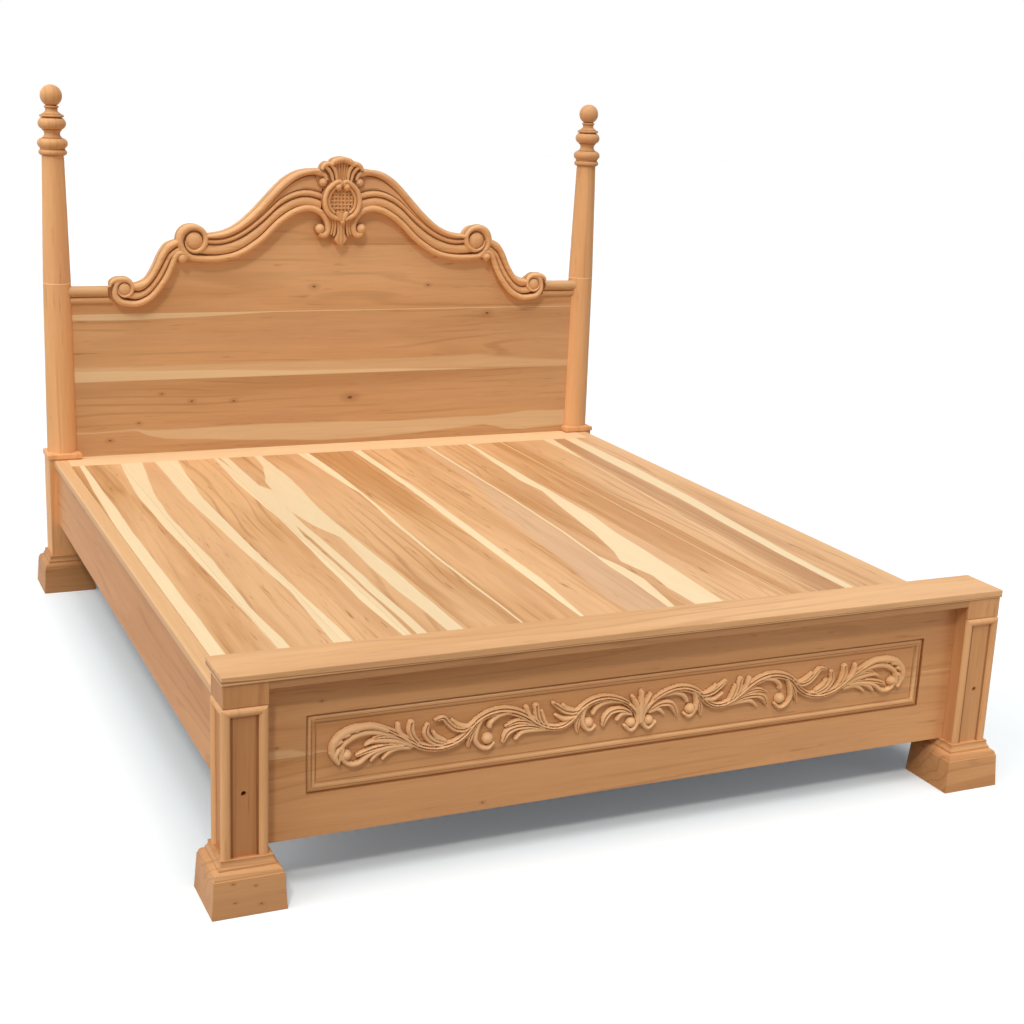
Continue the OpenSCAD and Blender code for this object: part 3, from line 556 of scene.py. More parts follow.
def smooth_line(points: Sequence[Sequence[float]], places: Points) -> Points:
    """Points of a Catmull-Rom curve, which runs through each control point.

    Between two control points b and c, with neighbours a and d, a place t from 0 to 1 gives
    half of 2b + (c - a)t + (2a - 5b + 4c - d)t² + (3b - a - 3c + d)t³.

    Args:
        points: Control points.
        places: Places from 0 to 1 along the curve.

    Returns:
        One point a place.
    """
    p = np.asarray(points, float)
    n = len(p) - 1
    k = np.minimum((places * n).astype(int), n - 1)
    t = (places * n - k)[:, None]
    a, b, c, d = p[np.maximum(k - 1, 0)], p[k], p[k + 1], p[np.minimum(k + 2, n)]
    return 0.5 * (2 * b + (c - a) * t + (2 * a - 5 * b + 4 * c - d) * t**2 + (3 * b - a - 3 * c + d) * t**3)


def listed(values: Sequence[float], places: Points) -> Points:
    """Smooth curve through evenly spaced values, read at places from 0 to 1."""
    return smooth_line([(v, 0) for v in values], places)[..., 0]


def about(centre: Place, radius: Points | float, degrees: Points) -> Points:
    """Points at angles on circles about a centre."""
    a = np.radians(degrees)
    return np.asarray(centre) + radius * np.stack([np.cos(a), np.sin(a)], -1)


def sides_of(path: Points) -> Points:
    """Unit vectors to the right of a plane path, square to the line through each point's neighbours."""
    ahead = np.gradient(path, axis=0)
    return np.stack([ahead[:, 1], -ahead[:, 0]], 1) / np.linalg.norm(ahead, axis=1, keepdims=True)


@dataclass
class Shells:
    """Closed shells that make up one piece, with the painted shade of their hollows."""

    points: list[Points] = field(default_factory=list)
    faces: list[tuple[int, ...]] = field(default_factory=list)
    creases: list[Points] = field(default_factory=list)
    count: int = 0
    # Painted shade at the back points of a slab.
    back_shade: float = 0.3

    def _add(self, rings: Points, faces: list[Sequence[int]], crease_shade: Points) -> None:
        """Adds one closed shell.

        Args:
            rings: Its points as rings.
            faces: Its faces, numbered from its own first point.
            crease_shade: Painted shade at its points.
        """
        self.faces += [tuple(i + self.count for i in face) for face in faces]
        self.points.append(rings.reshape(-1, 3))
        self.creases.append(np.broadcast_to(crease_shade, rings.shape[:2]).ravel())
        self.count += len(self.points[-1])

    def tube(self, rings: Points, crease_shade: Points | float) -> None:
        """Adds a tube of rings that is closed at both ends.

        Args:
            rings: Points as rings by places round a ring by three.
            crease_shade: Painted shade at these points.
        """
        n, m = rings.shape[:2]
        ends = [range(m - 1, -1, -1), range((n - 1) * m, n * m)]
        self._add(rings, grid_faces(n, m).tolist() + ends, crease_shade)

    def slab(self, front: Points, back: Points, crease_shade: Points | float) -> None:
        """Adds a slab between two grids of points.

        The rows run along the slab. Each row of the front continues in the back's row in reverse, which makes a ring.

        Args:
            front: Front points as rows by columns by three.
            back: Back points of the same form.
            crease_shade: Painted shade at the front points.
        """
        rows, columns = front.shape[:2]
        crease_shade = np.broadcast_to(crease_shade, front.shape[:2])
        n = 2 * columns
        c = np.arange(columns - 1)
        last = (rows - 1) * n
        quads = np.concatenate([
            grid_faces(rows, n),
            np.stack([c, n - 1 - c, n - 2 - c, c + 1], 1),
            np.stack([c, c + 1, n - 2 - c, n - 1 - c], 1) + last,
        ])
        shade = np.concatenate([crease_shade, np.full(crease_shade.shape, self.back_shade)], 1)
        self._add(np.concatenate([front, back[:, ::-1]], 1), quads.tolist(), shade)

    def mirrored(self) -> "Shells":
        """The same shells mirrored from right to left."""
        return Shells([p * (-1, 1, 1) for p in self.points], [f[::-1] for f in self.faces], self.creases, self.count)

    def mesh(self, name: str, sharp: float = 50.0) -> bpy.types.Mesh:
        """Makes the mesh, with its faces outwards.

        Args:
            name: Name of the mesh.
            sharp: Angle in degrees above which an edge stays sharp.

        Returns:
            The mesh.
        """
        shape = bmesh.new()
        mesh = bpy.data.meshes.new(name)
        mesh.from_pydata(np.concatenate(self.points).tolist(), [], self.faces)
        mesh.attributes.new("crease_shade", "FLOAT", "POINT").data.foreach_set("value", np.concatenate(self.creases))
        shape.from_mesh(mesh)
        bmesh.ops.recalc_face_normals(shape, faces=shape.faces)
        shape.to_mesh(mesh)
        shape.free()
        mesh.polygons.foreach_set("use_smooth", np.ones(len(mesh.polygons), bool))
        mesh.set_sharp_from_angle(angle=math.radians(sharp))
        return mesh


class Edges(Enum):
    """Width of the round that sandpaper leaves on a kind of piece, and the shortest edge it rounds, in metres."""

    LONG = (0.0012, 0.018)
    STRIP = (0.002, 0.018)
    CAP = (0.0016, 0.018)
    PANEL = (0.0006, 0.018)
    BEAD = (0.0004, 0.018)
    POST = (0.0012, 0.03)
    BOARD = (0.0004, 0.03)
    PLANK = (0.0006, 0.05)
    TURNED = (0.0003, 0.3)
    FITTING = (0.0003, 0.5)


def edged_copy(name: str, node: str, finish: Timber | Steel, edges: Edges = Edges.LONG) -> None:
    """Copies a CAD node and rounds its long sharp edges, as sandpaper does.

    The copy's loose triangles are merged and flat regions dissolved. Each convex edge that is long enough
    and turns far enough is rounded. Narrow strips of a round are shaded smooth, wide flats aren't.

    Args:
        name: Name of the piece and its material.
        node: CAD node to copy.
        finish: Finish of the piece.
        edges: Which edges are rounded, and how far.
    """
    width, shortest = edges.value
    shape = bmesh.new()
    shape.from_mesh(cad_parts[node].data)
    bmesh.ops.remove_doubles(shape, verts=shape.verts, dist=MERGED)
    bmesh.ops.dissolve_limit(shape, angle_limit=math.radians(FLAT), verts=shape.verts, edges=shape.edges)
    weights = shape.edges.layers.float.new("bevel_weight_edge")
    for edge in shape.edges:
        turn = edge.calc_face_angle_signed(0.0) if len(edge.link_faces) == 2 else 0.0
        if turn > math.radians(SHARP) and edge.calc_length() > shortest:
            edge[weights] = 1.0
    rounds = []
    for face in shape.faces:
        turns = [math.degrees(edge.calc_face_angle(0.0)) for edge in face.edges]
        narrow = face.calc_area() < NARROW * max(edge.calc_length() for edge in face.edges)
        rounds.append(narrow and any(LEAST < turn < CURVED for turn in turns))
    mesh = bpy.data.meshes.new(name)
    shape.to_mesh(mesh)
    shape.free()
    mesh.set_sharp_from_angle(angle=math.radians(CURVED))
    mesh.polygons.foreach_set("use_smooth", np.array(rounds))
    soft = new_piece(name, mesh, finish.material(name), node).modifiers.new("sanded", "BEVEL")
    soft.limit_method = "WEIGHT"
    soft.width = width
    soft.segments = 2
    soft.use_clamp_overlap = False


# ---- sub-assemblies ----


class Side(StrEnum):
    """Left and right half of the bed."""

    LEFT = "left"
    RIGHT = "right"


@dataclass(frozen=True)
class Sun:
    """A wide soft lamp. Its azimuth is 0 at the front and -90 at the left; its angles are in degrees."""

    name: str
    azimuth: float
    elevation: float
    strength: float
    width: float
    colour: Colour


@dataclass
class Studio:
    """Camera, floor, backdrop and lamps."""

    place: Triple = (-1.6445, -3.9429, 1.6106)
    yaw: float = -24.72
    pitch: float = -15.01
    roll: float = 2.45
    lens: float = 56.22
    film: float = 36.0
    farthest: float = 200.0
    ambient: float = 0.24
    ambient_colour: Colour = (1.0, 0.98, 0.95)
    suns: tuple[Sun, ...] = (
        Sun("key_light", -32.0, 50.0, 0.93, 7.0, (1.0, 0.95, 0.88)),
        Sun("side_light", -85.0, 30.0, 1.06, 50.0, (1.0, 0.985, 0.96)),
        Sun("overhead_light", -10.0, 79.0, 1.46, 36.0, (1.0, 0.985, 0.965)),
    )
    near: float = 9.0
    near_size: float = 1.2
    near_colour: Colour = (1.0, 0.97, 0.93)
    near_place: Triple = (2.3, -3.1, 0.8)
    near_aim: Triple = (0.5, -1.1, 0.2)
    floor_half: float = 30.0
    floor_colour: Colour = (0.92, 0.965, 1.0)
    floor_bounce: Colour = (0.36, 0.315, 0.27)
    floor_glow: Colour = (0.055, 0.082, 0.10)

    def build(self) -> None:
        """Makes the camera, the floor, the world and the lamps."""
        self._camera()
        self._floor()
        self._world()
        for sun in self.suns:
            lamp, angle = bpy.data.lights.new(sun.name, "SUN"), math.radians(sun.width)
            holder = placed(sun.name, lamp, energy=sun.strength, color=sun.colour, angle=angle)
            holder.rotation_euler = (math.radians(90 - sun.elevation), 0.0, math.radians(sun.azimuth))
        lamp = bpy.data.lights.new("near_light", "AREA")
        holder = placed("near_light", lamp, energy=self.near, color=self.near_colour, size=self.near_size)
        holder.location = self.near_place
        holder.rotation_euler = (Vector(self.near_aim) - Vector(self.near_place)).to_track_quat("-Z", "Y").to_euler()
        bpy.context.scene.view_settings.view_transform = "Standard"
        log.info("studio: camera, floor, world and %d lamps", len(self.suns) + 1)

    def _camera(self) -> None:
        """Sets the camera where the photograph was taken, turned by its yaw, pitch and roll."""
        data = bpy.data.cameras.new("camera")
        camera = placed("camera", data, sensor_width=self.film, lens=self.lens, clip_end=self.farthest)
        matrix = Matrix.Translation(self.place)
        for angle, axis in ((self.yaw, "Z"), (90 + self.pitch, "X"), (self.roll, "Z")):
            matrix @= Matrix.Rotation(math.radians(angle), 4, axis)
        camera.matrix_world = matrix
        bpy.context.scene.camera = camera

    def _floor(self) -> None:
        """Makes a wide pale floor that shows the bed's shadow and is white elsewhere."""
        mesh = bpy.data.meshes.new("floor")
        corners = ((-1, -1), (1, -1), (1, 1), (-1, 1))
        mesh.from_pydata([(x * self.floor_half, y * self.floor_half, 0) for x, y in corners], [], [(0, 1, 2, 3)])
        made, g = fresh("floor_white")
        colours = (self.floor_bounce, self.floor_colour)
        bounce, diffuse = (g.node("ShaderNodeBsdfDiffuse", None, {"Color": colour}) for colour in colours)
        glow = g.node("ShaderNodeEmission", None, {"Color": self.floor_glow, "Strength": 1.0})
        self._shown(g, bounce, g.node("ShaderNodeAddShader", None, {0: diffuse, 1: glow}), "ShaderNodeOutputMaterial")
        mesh.materials.append(made)
        placed("floor", mesh)

    def _world(self) -> None:
        """Lights the room evenly and shows white behind the bed."""
        bpy.context.scene.world = bpy.data.worlds.new("room")
        g = Graph(bpy.context.scene.world)
        light, white = (
            g.node("ShaderNodeBackground", None, {"Color": colour, "Strength": strength})
            for colour, strength in ((self.ambient_colour, self.ambient), ((1.0, 1.0, 1.0), 1.0))
        )
        self._shown(g, light, white, "ShaderNodeOutputWorld")

    @staticmethod
    def _shown(g: Graph, hidden: Value, shown: Value, output: str) -> None:
        """Ends a graph in two shaders.

        Args:
            g: The graph.
            hidden: Shader for the light that the bed receives.
            shown: Shader for rays from the camera, mirror-like reflections and refraction.
            output: Blender's name of the output node.
        """
        rays = (g.node("ShaderNodeLightPath", output=f"Is {kind} Ray") for kind in ("Camera", "Glossy", "Transmission"))
        camera, glossy, through = rays
        both = g.node("ShaderNodeMixShader", None, {0: camera.most(glossy).most(through), 1: hidden, 2: shown})
        g.node(output, None, {"Surface": both})


@dataclass
class FrontPosts:
    """Two square posts with sunk panels edged by half-round beads.

    Each strip of painted shade on a face, beside the beads and over the sunk panel, is given by its two edges
    from the middle of the bed, its strength and softness.
    """

    post: Timber = Timber(Axis.Z, seed=1.3, tone=0.76)
    bead: Timber = Timber(Axis.Z, seed=2.1, tone=1.05, warmth=1.05, figure=0.7)
    # Painted light: the right post's higher tone and lower warmth make it look more brightly lit than the left.
    side_light_tones: Place = (1.0, 1.22)
    side_light_warmths: Place = (1.19, 1.11)
    shades: tuple[tuple[float, ...], ...] = ((919, 925, 0.9, 1.5), (867, 873, 0.9, 1.5), (870, 922, 0.16, 1.0))

    def build(self) -> None:
        """Dresses the posts and their beads."""
        for i, side in enumerate(Side):
            turn = 2 * i - 1
            shades = tuple(self._shade(*sorted((turn * near, turn * far)), *look) for near, far, *look in self.shades)
            post = self.post.toned(i, self.side_light_tones[i], warmth=self.side_light_warmths[i], streaks=shades)
            edged_copy(f"post_front_{side}", f"front_post_{side}", post)
            edged_copy(f"beads_front_{side}", f"front_post_beads_{side}", self.bead.toned(i), Edges.BEAD)

    @staticmethod
    def _shade(low: float, high: float, strength: float, soft: float) -> Streak:
        """Strip of painted shade on a face from the plinth up to the ring, where its two edges cross and it ends."""
        stations = ((100, low, high), (424, low, high), (428, high + 4, low - 4))
        return Streak(stations, Tint.DARK, strength, soft, 0.0)


@dataclass
class Plinths:
    """Four plinths of mitred boards round the feet of the posts."""

    board: Timber = Timber(Axis.X, seed=4.2, warmth=1.12)
    tones: tuple[float, ...] = (0.82, 0.88, 0.76, 0.82)
    seed_step: float = 1.7
    knots: tuple[Knot, ...] = (Knot(-927, 71, 1.4), Knot(-882, 61, 1.2), Knot(-924, 31, 1.2), Knot(-871, 21, 1.4))

    def build(self) -> None:
        """Dresses the plinths; the knots are those of the front left one."""
        places = (f"{end}_{side}" for end in ("front", "head") for side in Side)
        for i, place in enumerate(places):
            board = self.board.toned(i * self.seed_step, self.tones[i], knots=() if i else self.knots)
            edged_copy(f"foot_{place}", f"plinth_{place}", board)


@dataclass
class HeadPosts:
    """Two tall posts: square base, turned shaft in two lengths and a turned finial."""

    lower: Timber = Timber(Axis.Z, seed=7.7, tone=1.14, warmth=1.06, figure=0.8)
    upper: Timber = Timber(Axis.Z, seed=8.9, tone=1.15, warmth=1.06, figure=0.8)
    finial: Timber = Timber(Axis.Z, seed=9.4, tone=1.05, warmth=1.06, figure=0.8)
    # Painted light: the left post's higher tone makes it look more brightly lit than the right.
    side_light_tones: Place = (1.09, 0.96)
    seed_step: float = 2.3
    grooves: tuple[float, ...] = (0.3, 17.3, 50.0, 74.0, 110.0, 118.5, 136.0, 144.5)
    seam: float = 965.0

    def build(self) -> None:
        """Dresses the posts, their seam and the finials, whose grooves carry painted shade."""
        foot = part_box("finial_left")[0].z / MM
        seam = (self._band(self.seam, Tint.SAP, 0.6),)
        # Lines of painted shade in the grooves of the finials.
        grooves = tuple(self._band(foot + h, Tint.DARK, 0.85) for h in self.grooves)
        for i, side in enumerate(Side):
            for name, node, timber, lines, edges in (
                ("post_head", "head_post", self.lower, seam, Edges.POST),
                ("post_shaft", "shaft", self.upper, seam, Edges.TURNED),
                ("turned_finial", "finial", self.finial, grooves, Edges.TURNED),
            ):
                dressed = timber.toned(i * self.seed_step, self.side_light_tones[i], streaks=lines)
                edged_copy(f"{name}_{side}", f"{node}_{side}", dressed, edges)

    @staticmethod
    def _band(z: float, tint: Tint, strength: float) -> Streak:
        """Thin line all round a turned part at a height."""
        return Streak.patch((z - 0.9, z + 0.9), (-2000, 2000), 1.1, 4, tint, strength, 0.5)


@dataclass
class Headboard:
    """Five boards with sapwood streaks that run across their joints, and the half-round rail beside each post."""

    streaks: tuple[Streak, ...] = (
        # This streak darkens the upper right of the middle board.
        Streak(((100, 800, 770), (420, 710, 850), (837, 690, 862)), Tint.DARK, 0.2, 30, 8),
        Streak((
            (-835, 850, 867), (-696, 847, 868), (-480, 853, 867), (-391, 857, 866), (-300, 861, 866.5),
            (-215, 865, 866),
        ), Tint.SAP, 0.7, 1.2, 0.8),
        Streak(((383, 865.5, 867.5), (600, 865.5, 867.5), (837, 864.5, 866.5)), Tint.SAP, 0.9, 0.8, 0.3),
        Streak((
            (-835, 656, 690), (-675, 656, 687), (-393, 656, 681), (-112, 656, 670), (136, 656, 668), (460, 656, 658),
            (540, 655, 656),
        ), Tint.SAP, 0.7, 1.2, 0.8),
        Streak(((222, 658, 701), (502, 658, 707), (647, 657, 691), (837, 656, 677)), Tint.SAP, 0.35, 6, 3),
        Streak((
            (-835, 491, 496), (-799, 491, 495), (-660, 494, 499), (-622, 476, 495), (-563, 464, 493), (-394, 454, 495),
            (-247, 443, 499), (-33, 433, 494), (125, 435, 490), (261, 440, 488), (404, 449, 489), (540, 459, 489),
            (629, 438, 493), (688, 435, 500), (845, 444, 497),
        ), Tint.SAP, 0.62, 3, 5),
    )
    knots: tuple[Knot, ...] = (
        Knot(-81, 945, 4), Knot(47, 574, 6), Knot(-485, 583, 3), Knot(-348, 578, 3), Knot(316, 945, 3),
        Knot(-581, 610, 2.4), Knot(-655, 519, 2.4), Knot(535, 847, 5), Knot(-746, 467, 3),
    )
    board: Timber = Timber(Axis.X, seed=11.0, warmth=1.03)
    tones: tuple[float, ...] = (0.86, 0.88, 0.98, 1.04, 1.04)
    seed_step: float = 0.9
    halo: float = 12.0
    rail: Timber = Timber(Axis.X, seed=15.0, figure=0.8)

    def build(self) -> None:
        """Dresses each board with the streaks and knots that reach it, and the rails."""
        for i, tone in enumerate(self.tones):
            node = f"headboard_board_{i + 1}"
            low, high = (corner.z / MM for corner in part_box(node))
            streaks = tuple(s for s in self.streaks if s.reaches(low, high))
            knots = tuple(k for k in self.knots if low - self.halo < k.across < high + self.halo)
            board = self.board.toned(i * self.seed_step, tone, streaks=streaks, knots=knots)
            edged_copy(f"board_{i + 1}", node, board, Edges.BOARD)
        for side in Side:
            edged_copy(f"half_round_{side}", f"headboard_moulding_{side}", self.rail, Edges.TURNED)


@dataclass(frozen=True)
class Scroll:
    """An S-scroll: its outer line, the ribbon along its inner side and the volute that the ribbon winds into.

    Under the volute, the shares across the scroll stand for angles in degrees and radii about the volute's centre.
    """

    volute: Place
    outer: tuple[Place, ...]
    ribbon: tuple[Place, ...]
    turns: tuple[float, ...]
    halves: tuple[float, ...]
    width: float
    eye: float
    first: int
    shares: tuple[float, ...]
    angles: tuple[float, ...]
    radii: tuple[float, ...]
    clear: float = 0.2

    def path(self, steps: int) -> Points:
        """The ribbon's line to straight below the volute's centre, in steps between its control points."""
        control = (*self.ribbon, (self.volute[0], self.volute[1] - self.turns[0]))
        return smooth_line(control, np.linspace(0, 1, (len(control) - 1) * steps + 1))

    def _edge(self) -> Points:
        """The ribbon's inner edge, a little clear of it, from its volute back to its first shared control point."""
        line = self.path(4)
        return (line - sides_of(line) * (self.width / 2 + self.clear))[: self.first * 4 - 1 : -1]

    def winding(self, u: Points) -> Points:
        """The volute from straight below its centre inwards, with a radius for each eighth of a turn."""
        return about(self.volute, listed(self.turns, u)[:, None], -90 + 45 * (len(self.turns) - 1) * u)

    def grid(self, across: Points, along: Points, end: Points) -> Points:
        """Plane places of the scroll between its outer line and the ribbon.

        A place is the blend by f of the outer line and the ribbon's edge at t. Near both ends it is pulled on to
        the start curve and the end curve, by the square of 1 - t/0.3 and of (t - 0.75)/0.25.

        Args:
            across: Places f from 0 to 1 across, as rows by columns.
            along: Places t from 0 to 1 along.
            end: Points of the end curve at each f.

        Returns:
            Places as rows along by columns across by two.
        """
        line, inner = smooth_line(self.outer, along)[:, None], smooth_line(self._edge(), along)[:, None]
        f = across[..., None]
        ends = ((line, inner), (line[0], inner[0]), (line[-1], inner[-1]))
        base, far_start, far_end = (a * (1 - f) + b * f for a, b in ends)
        radius = np.interp(across, self.shares, self.radii)[..., None]
        start = about(self.volute, radius, np.interp(across, self.shares, self.angles))
        pull_in = np.maximum(0, 1 - along / 0.3)[:, None, None] ** 2
        pull_out = np.maximum(0, (along - 0.75) / 0.25)[:, None, None] ** 2
        return base + (start - far_start) * pull_in + (end - far_end) * pull_out


@dataclass
class Crest:
    """The carved crest: scrolls, ribbons that wind into volutes, cartouche, shell and leaf drop.

    Plane places are in millimetres, x from the middle of the bed and z from the top of the half-round rail.
    Heights are in millimetres from the face of the boards. The lattice of the cartouche has slats of a half
    width, at a pitch, with as many crossings on each side of the middle.
    """

    wood: Timber = Timber(Axis.X, seed=21.0, tone=1.20, figure=0.7, painted_crease_shade=0.5)
    pale: Timber = Timber(Axis.Z, seed=22.0, tone=1.20, figure=0.6, painted_crease_shade=0.5)
    large: Scroll = Scroll(
        volute=(477, 140),
        outer=(
            (441, 162), (384, 170), (336, 192), (288, 232), (240, 282), (192, 330), (148, 357), (104, 368), (66, 363),
        ),
        ribbon=(
            (72, 162), (58, 158), (45, 168), (44, 193), (58, 221), (88, 240), (124, 242), (165, 226), (209, 195),
            (264, 143), (330, 101), (385, 86), (436, 83),
        ),
        turns=(54, 45.5, 45, 44.5, 42, 40.5, 36.5, 34, 33, 30.5, 28),
        halves=(10, 9.5, 13, 13.5, 10, 8, 9, 8.5, 6, 4, 1.5),
        width=20, eye=26.0, first=5,
        shares=(0, 0.28, 0.30, 0.53, 0.55, 1), angles=(153, 171, 174, 191, 194, 285), radii=(42, 41, 41, 38, 37, 34),
    )
    small: Scroll = Scroll(
        volute=(695.5, -8),
        outer=((663, 8), (628, 23), (603, 60), (584, 101), (562, 131), (533, 143)),
        ribbon=((503, 84), (505, 96), (516, 102), (531, 97), (541, 79), (552, 53), (574, 13), (612, -32), (655, -53)),
        turns=(42, 35, 28, 29, 29.5, 28, 24.5, 22.5, 22, 21, 20),
        halves=(10.5, 10, 8, 9, 9.5, 7.5, 5.5, 4.5, 4, 3, 1.5),
        width=19, eye=18.5, first=3,
        shares=(0, 0.56, 0.57, 1), angles=(144, 190, 192, 285), radii=(27, 25, 25, 23),
    )
    large_shares: tuple[tuple[float, ...], ...] = (
        (0.28, 0.35, 0.39, 0.34, 0.22, 0.13), (0.30, 0.375, 0.43, 0.48, 0.56, 0.60),
        (0.53, 0.58, 0.625, 0.66, 0.72, 0.76), (0.55, 0.605, 0.65, 0.685, 0.74, 0.78),
    )
    large_end: tuple[Place, ...] = ((62, 352), (66, 335), (60, 315), (64, 290), (66.5, 265), (68, 238))
    relief: float = 30
    centre: Place = (0, 267)
    radius: float = 66
    sunk_radius: float = 41
    crossings: int = 3
    pitch: float = 12
    slat: float = 3.7
    steps: int = 90
    apart: float = 0.04
    steepness: float = 1.25
    work: Shells = field(default_factory=Shells)

    def __post_init__(self) -> None:
        """Takes the face of the boards and the top of the half-round rail from the frame."""
        self.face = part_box("headboard_board_5")[0].y / MM
        self.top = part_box("headboard_moulding_left")[1].z / MM

    def build(self) -> None:
        """Carves each part of the crest. Those beside the middle are carved on the right and mirrored to the left."""
        wood, pale = self.wood.material("crest_wood"), self.pale.material("crest_pale")
        for name, carve, finish in (
            ("scroll_large", self._large_scroll, wood), ("scroll_small", self._small_scroll, wood),
            ("ribbon", self._ribbons, wood), ("cartouche", self._cartouche, pale), ("shell", self._shell, pale),
            ("leaf_drop", self._leaf_drop, pale),
        ):
            self.work = Shells()
            carve()
            pair = {f"{name}_{Side.LEFT}": self.work.mirrored(), f"{name}_{Side.RIGHT}": self.work}
            for part, shells in (pair if finish is wood else {name: self.work}).items():
                new_piece(f"carved_{part}", shells.mesh(f"crest_{part}"), finish, f"crest_{part}")

    def _place(self, plane: Points, out: Points | float) -> Points:
        """Turns plane places and heights into points of the row frame, in metres."""
        out = np.broadcast_to(np.asarray(out, float), plane.shape[:-1])
        return np.stack([plane[..., 0], self.face - out, self.top + plane[..., 1]], -1) * MM

    def _band(self, grid: Points, heights: Points | float, crease_shade: Points | float) -> None:
        """Adds a carved band whose front stands off the boards by the heights and whose back lies on them."""
        self.work.slab(self._place(grid, heights), self._place(grid, 0.0), crease_shade)

    @staticmethod
    def _roll(m: Points) -> Points:
        """Height from 0 to 1 at places m from 0 to 1 across a roll, a half circle: the root of 1 - (2m - 1)²."""
        return np.sqrt(np.clip(1 - (2 * m - 1) ** 2, 0, 1))

    def _large_scroll(self) -> None:
        """Large scroll: outer roll, flat web that widens towards the cartouche, thin rib and broad roll."""
        t = np.linspace(0, 1, self.steps)
        roll_end, rib, rib_end, broad = (listed(v, t)[:, None] for v in self.large_shares)
        m, web = np.linspace(0, 1, 13), np.array([0.1, 0.3, 0.5, 0.7, 0.9])
        bands = [m * roll_end, roll_end + web * (rib - roll_end), rib + m * (rib_end - rib), broad + m * (1 - broad)]
        across = np.concatenate(bands, 1)
        end = smooth_line(self.large_end, across.ravel()).reshape(*across.shape, 2)
        up = self._roll(m)
        heights = np.concatenate([10 + 20 * up, np.full(5, 15.0), 10 + 15 * up, 10 + 14 * up**0.8])
        # Painted shade at the feet of the rolls and the edges of the web.
        foot = (1 - up) ** 2.5
        crease_shade = np.concatenate([foot, [0.6, 0.15, 0.0, 0.15, 0.6], foot, foot])
        self._band(self.large.grid(across, t, end), heights, crease_shade)

    def _small_scroll(self) -> None:
        """Small scroll: outer roll and broad roll. It ends on a circle about the large volute."""
        t = np.linspace(0, 1, self.steps // 2)
        m = np.linspace(0, 1, 13)
        up = self._roll(m)
        across = np.tile(np.concatenate([m * 0.56, 0.57 + m * 0.43]), (len(t), 1))
        end = about(self.large.volute, 48, 10 - 50 * across)
        heights = np.concatenate([10 + 19 * up, 10 + 15 * up])
        # Painted shade at the feet of both rolls.
        self._band(self.small.grid(across, t, end), heights, np.tile((1 - up) ** 2.5, 2))

    def _clear(self) -> float:
        """A little more for each shell, so that no two backs lie in one plane."""
        return self.apart * (len(self.work.points) + 1)

    def _sweep(self, path: Points, half: Points, height: Points | float, base: float = 0.0) -> None:
        """Adds a round-topped ribbon along a path.

        Across it, a point at the angle a from 180 to 0 degrees lies at half·cos a from the path and stands
        height - steepness·half·(1 - sin a) off the boards.

        Args:
            path: Plane places along it.
            half: Half width at each place.
            height: Height of its top.
            base: Height of its foot.
        """
        a = np.radians(np.linspace(180, 0, 15))
        drop = 1 - np.sin(a)
        offs = np.concatenate([[-1.0], np.cos(a), [1.0]])
        plane = path[:, None] + sides_of(path)[:, None] * (half[:, None] * offs)[..., None]
        top = np.broadcast_to(height, half.shape)[:, None] - self.steepness * half[:, None] * drop
        rest = np.full((len(path), 1), base + self._clear())
        out = np.concatenate([rest, np.maximum(top, base + 0.5), rest], 1)
        # Painted shade on the ribbon's flanks and at its feet.
        self.work.tube(self._place(plane, out), np.concatenate([[0.6], drop**2.5, [0.6]]))

    def _strokes(self, strokes: Sequence[Stroke], centre: Place, steps: int = 41) -> None:
        """Adds round-topped strokes.

        Args:
            strokes: Control points, half widths and height of each stroke on the right, and whether it has a twin.
            centre: Place that the control points are measured from.
            steps: Number of points along a stroke.
        """
        u = np.linspace(0, 1, steps)
        for points, halves, height, twin in strokes:
            for side in (1, -1) if twin else (1,):
                self._sweep(smooth_line(points, u) * (side, 1) + centre, listed(halves, u), height)

    def _turned(self, centre: Place, radius: float, rings: Sequence[Triple], count: int = 40) -> None:
        """Adds a turned form.

        Args:
            centre: Its middle.
            radius: Its radius.
            rings: Share of the radius, height and painted shade of each ring.
            count: Number of points round it.
        """
        share, out, crease_shade = np.array(rings, float).T[..., None]
        turn = np.linspace(0, 360, count + 1)[:-1]
        self.work.tube(self._place(about(centre, radius * share[..., None], turn[None]), out), crease_shade)

    def _dome(self, centre: Place, radius: float, height: float, rise: float) -> None:
        """Adds a dome on a wall. A share of its radius out, it lies rise·radius·share^2.4 below its top.

        Args:
            centre: Its middle.
            radius: Its radius.
            height: Height of its top.
            rise: Height of the cap as a share of its radius.
        """
        cap = [(s, height - rise * radius * s**2.4, 0.0) for s in (1.0, 0.97, 0.88, 0.72, 0.52, 0.30, 0.10)]
        # Painted shade on the dome's wall.
        wall = [(1.0, self._clear(), 1.0), (*cap[0][:2], 0.7)]
        self._turned(centre, radius, wall + cap[1:])

    def _ribbons(self) -> None:
        """Ribbons that edge the scrolls and wind into the volutes, the eyes and the end balls."""
        for scroll in (self.large, self.small):
            u = np.linspace(0, 1, 12 * len(scroll.turns))[1:]
            line = scroll.path(8)
            start = np.minimum(1, 0.7 + 0.03 * np.arange(len(line))) * scroll.width / 2
            half = np.concatenate([start, listed(scroll.halves, u)])
            half = np.convolve(np.pad(half, 3, mode="edge"), np.ones(7) / 7, "valid")
            self._sweep(np.concatenate([line, scroll.winding(u)]), half, self.relief)
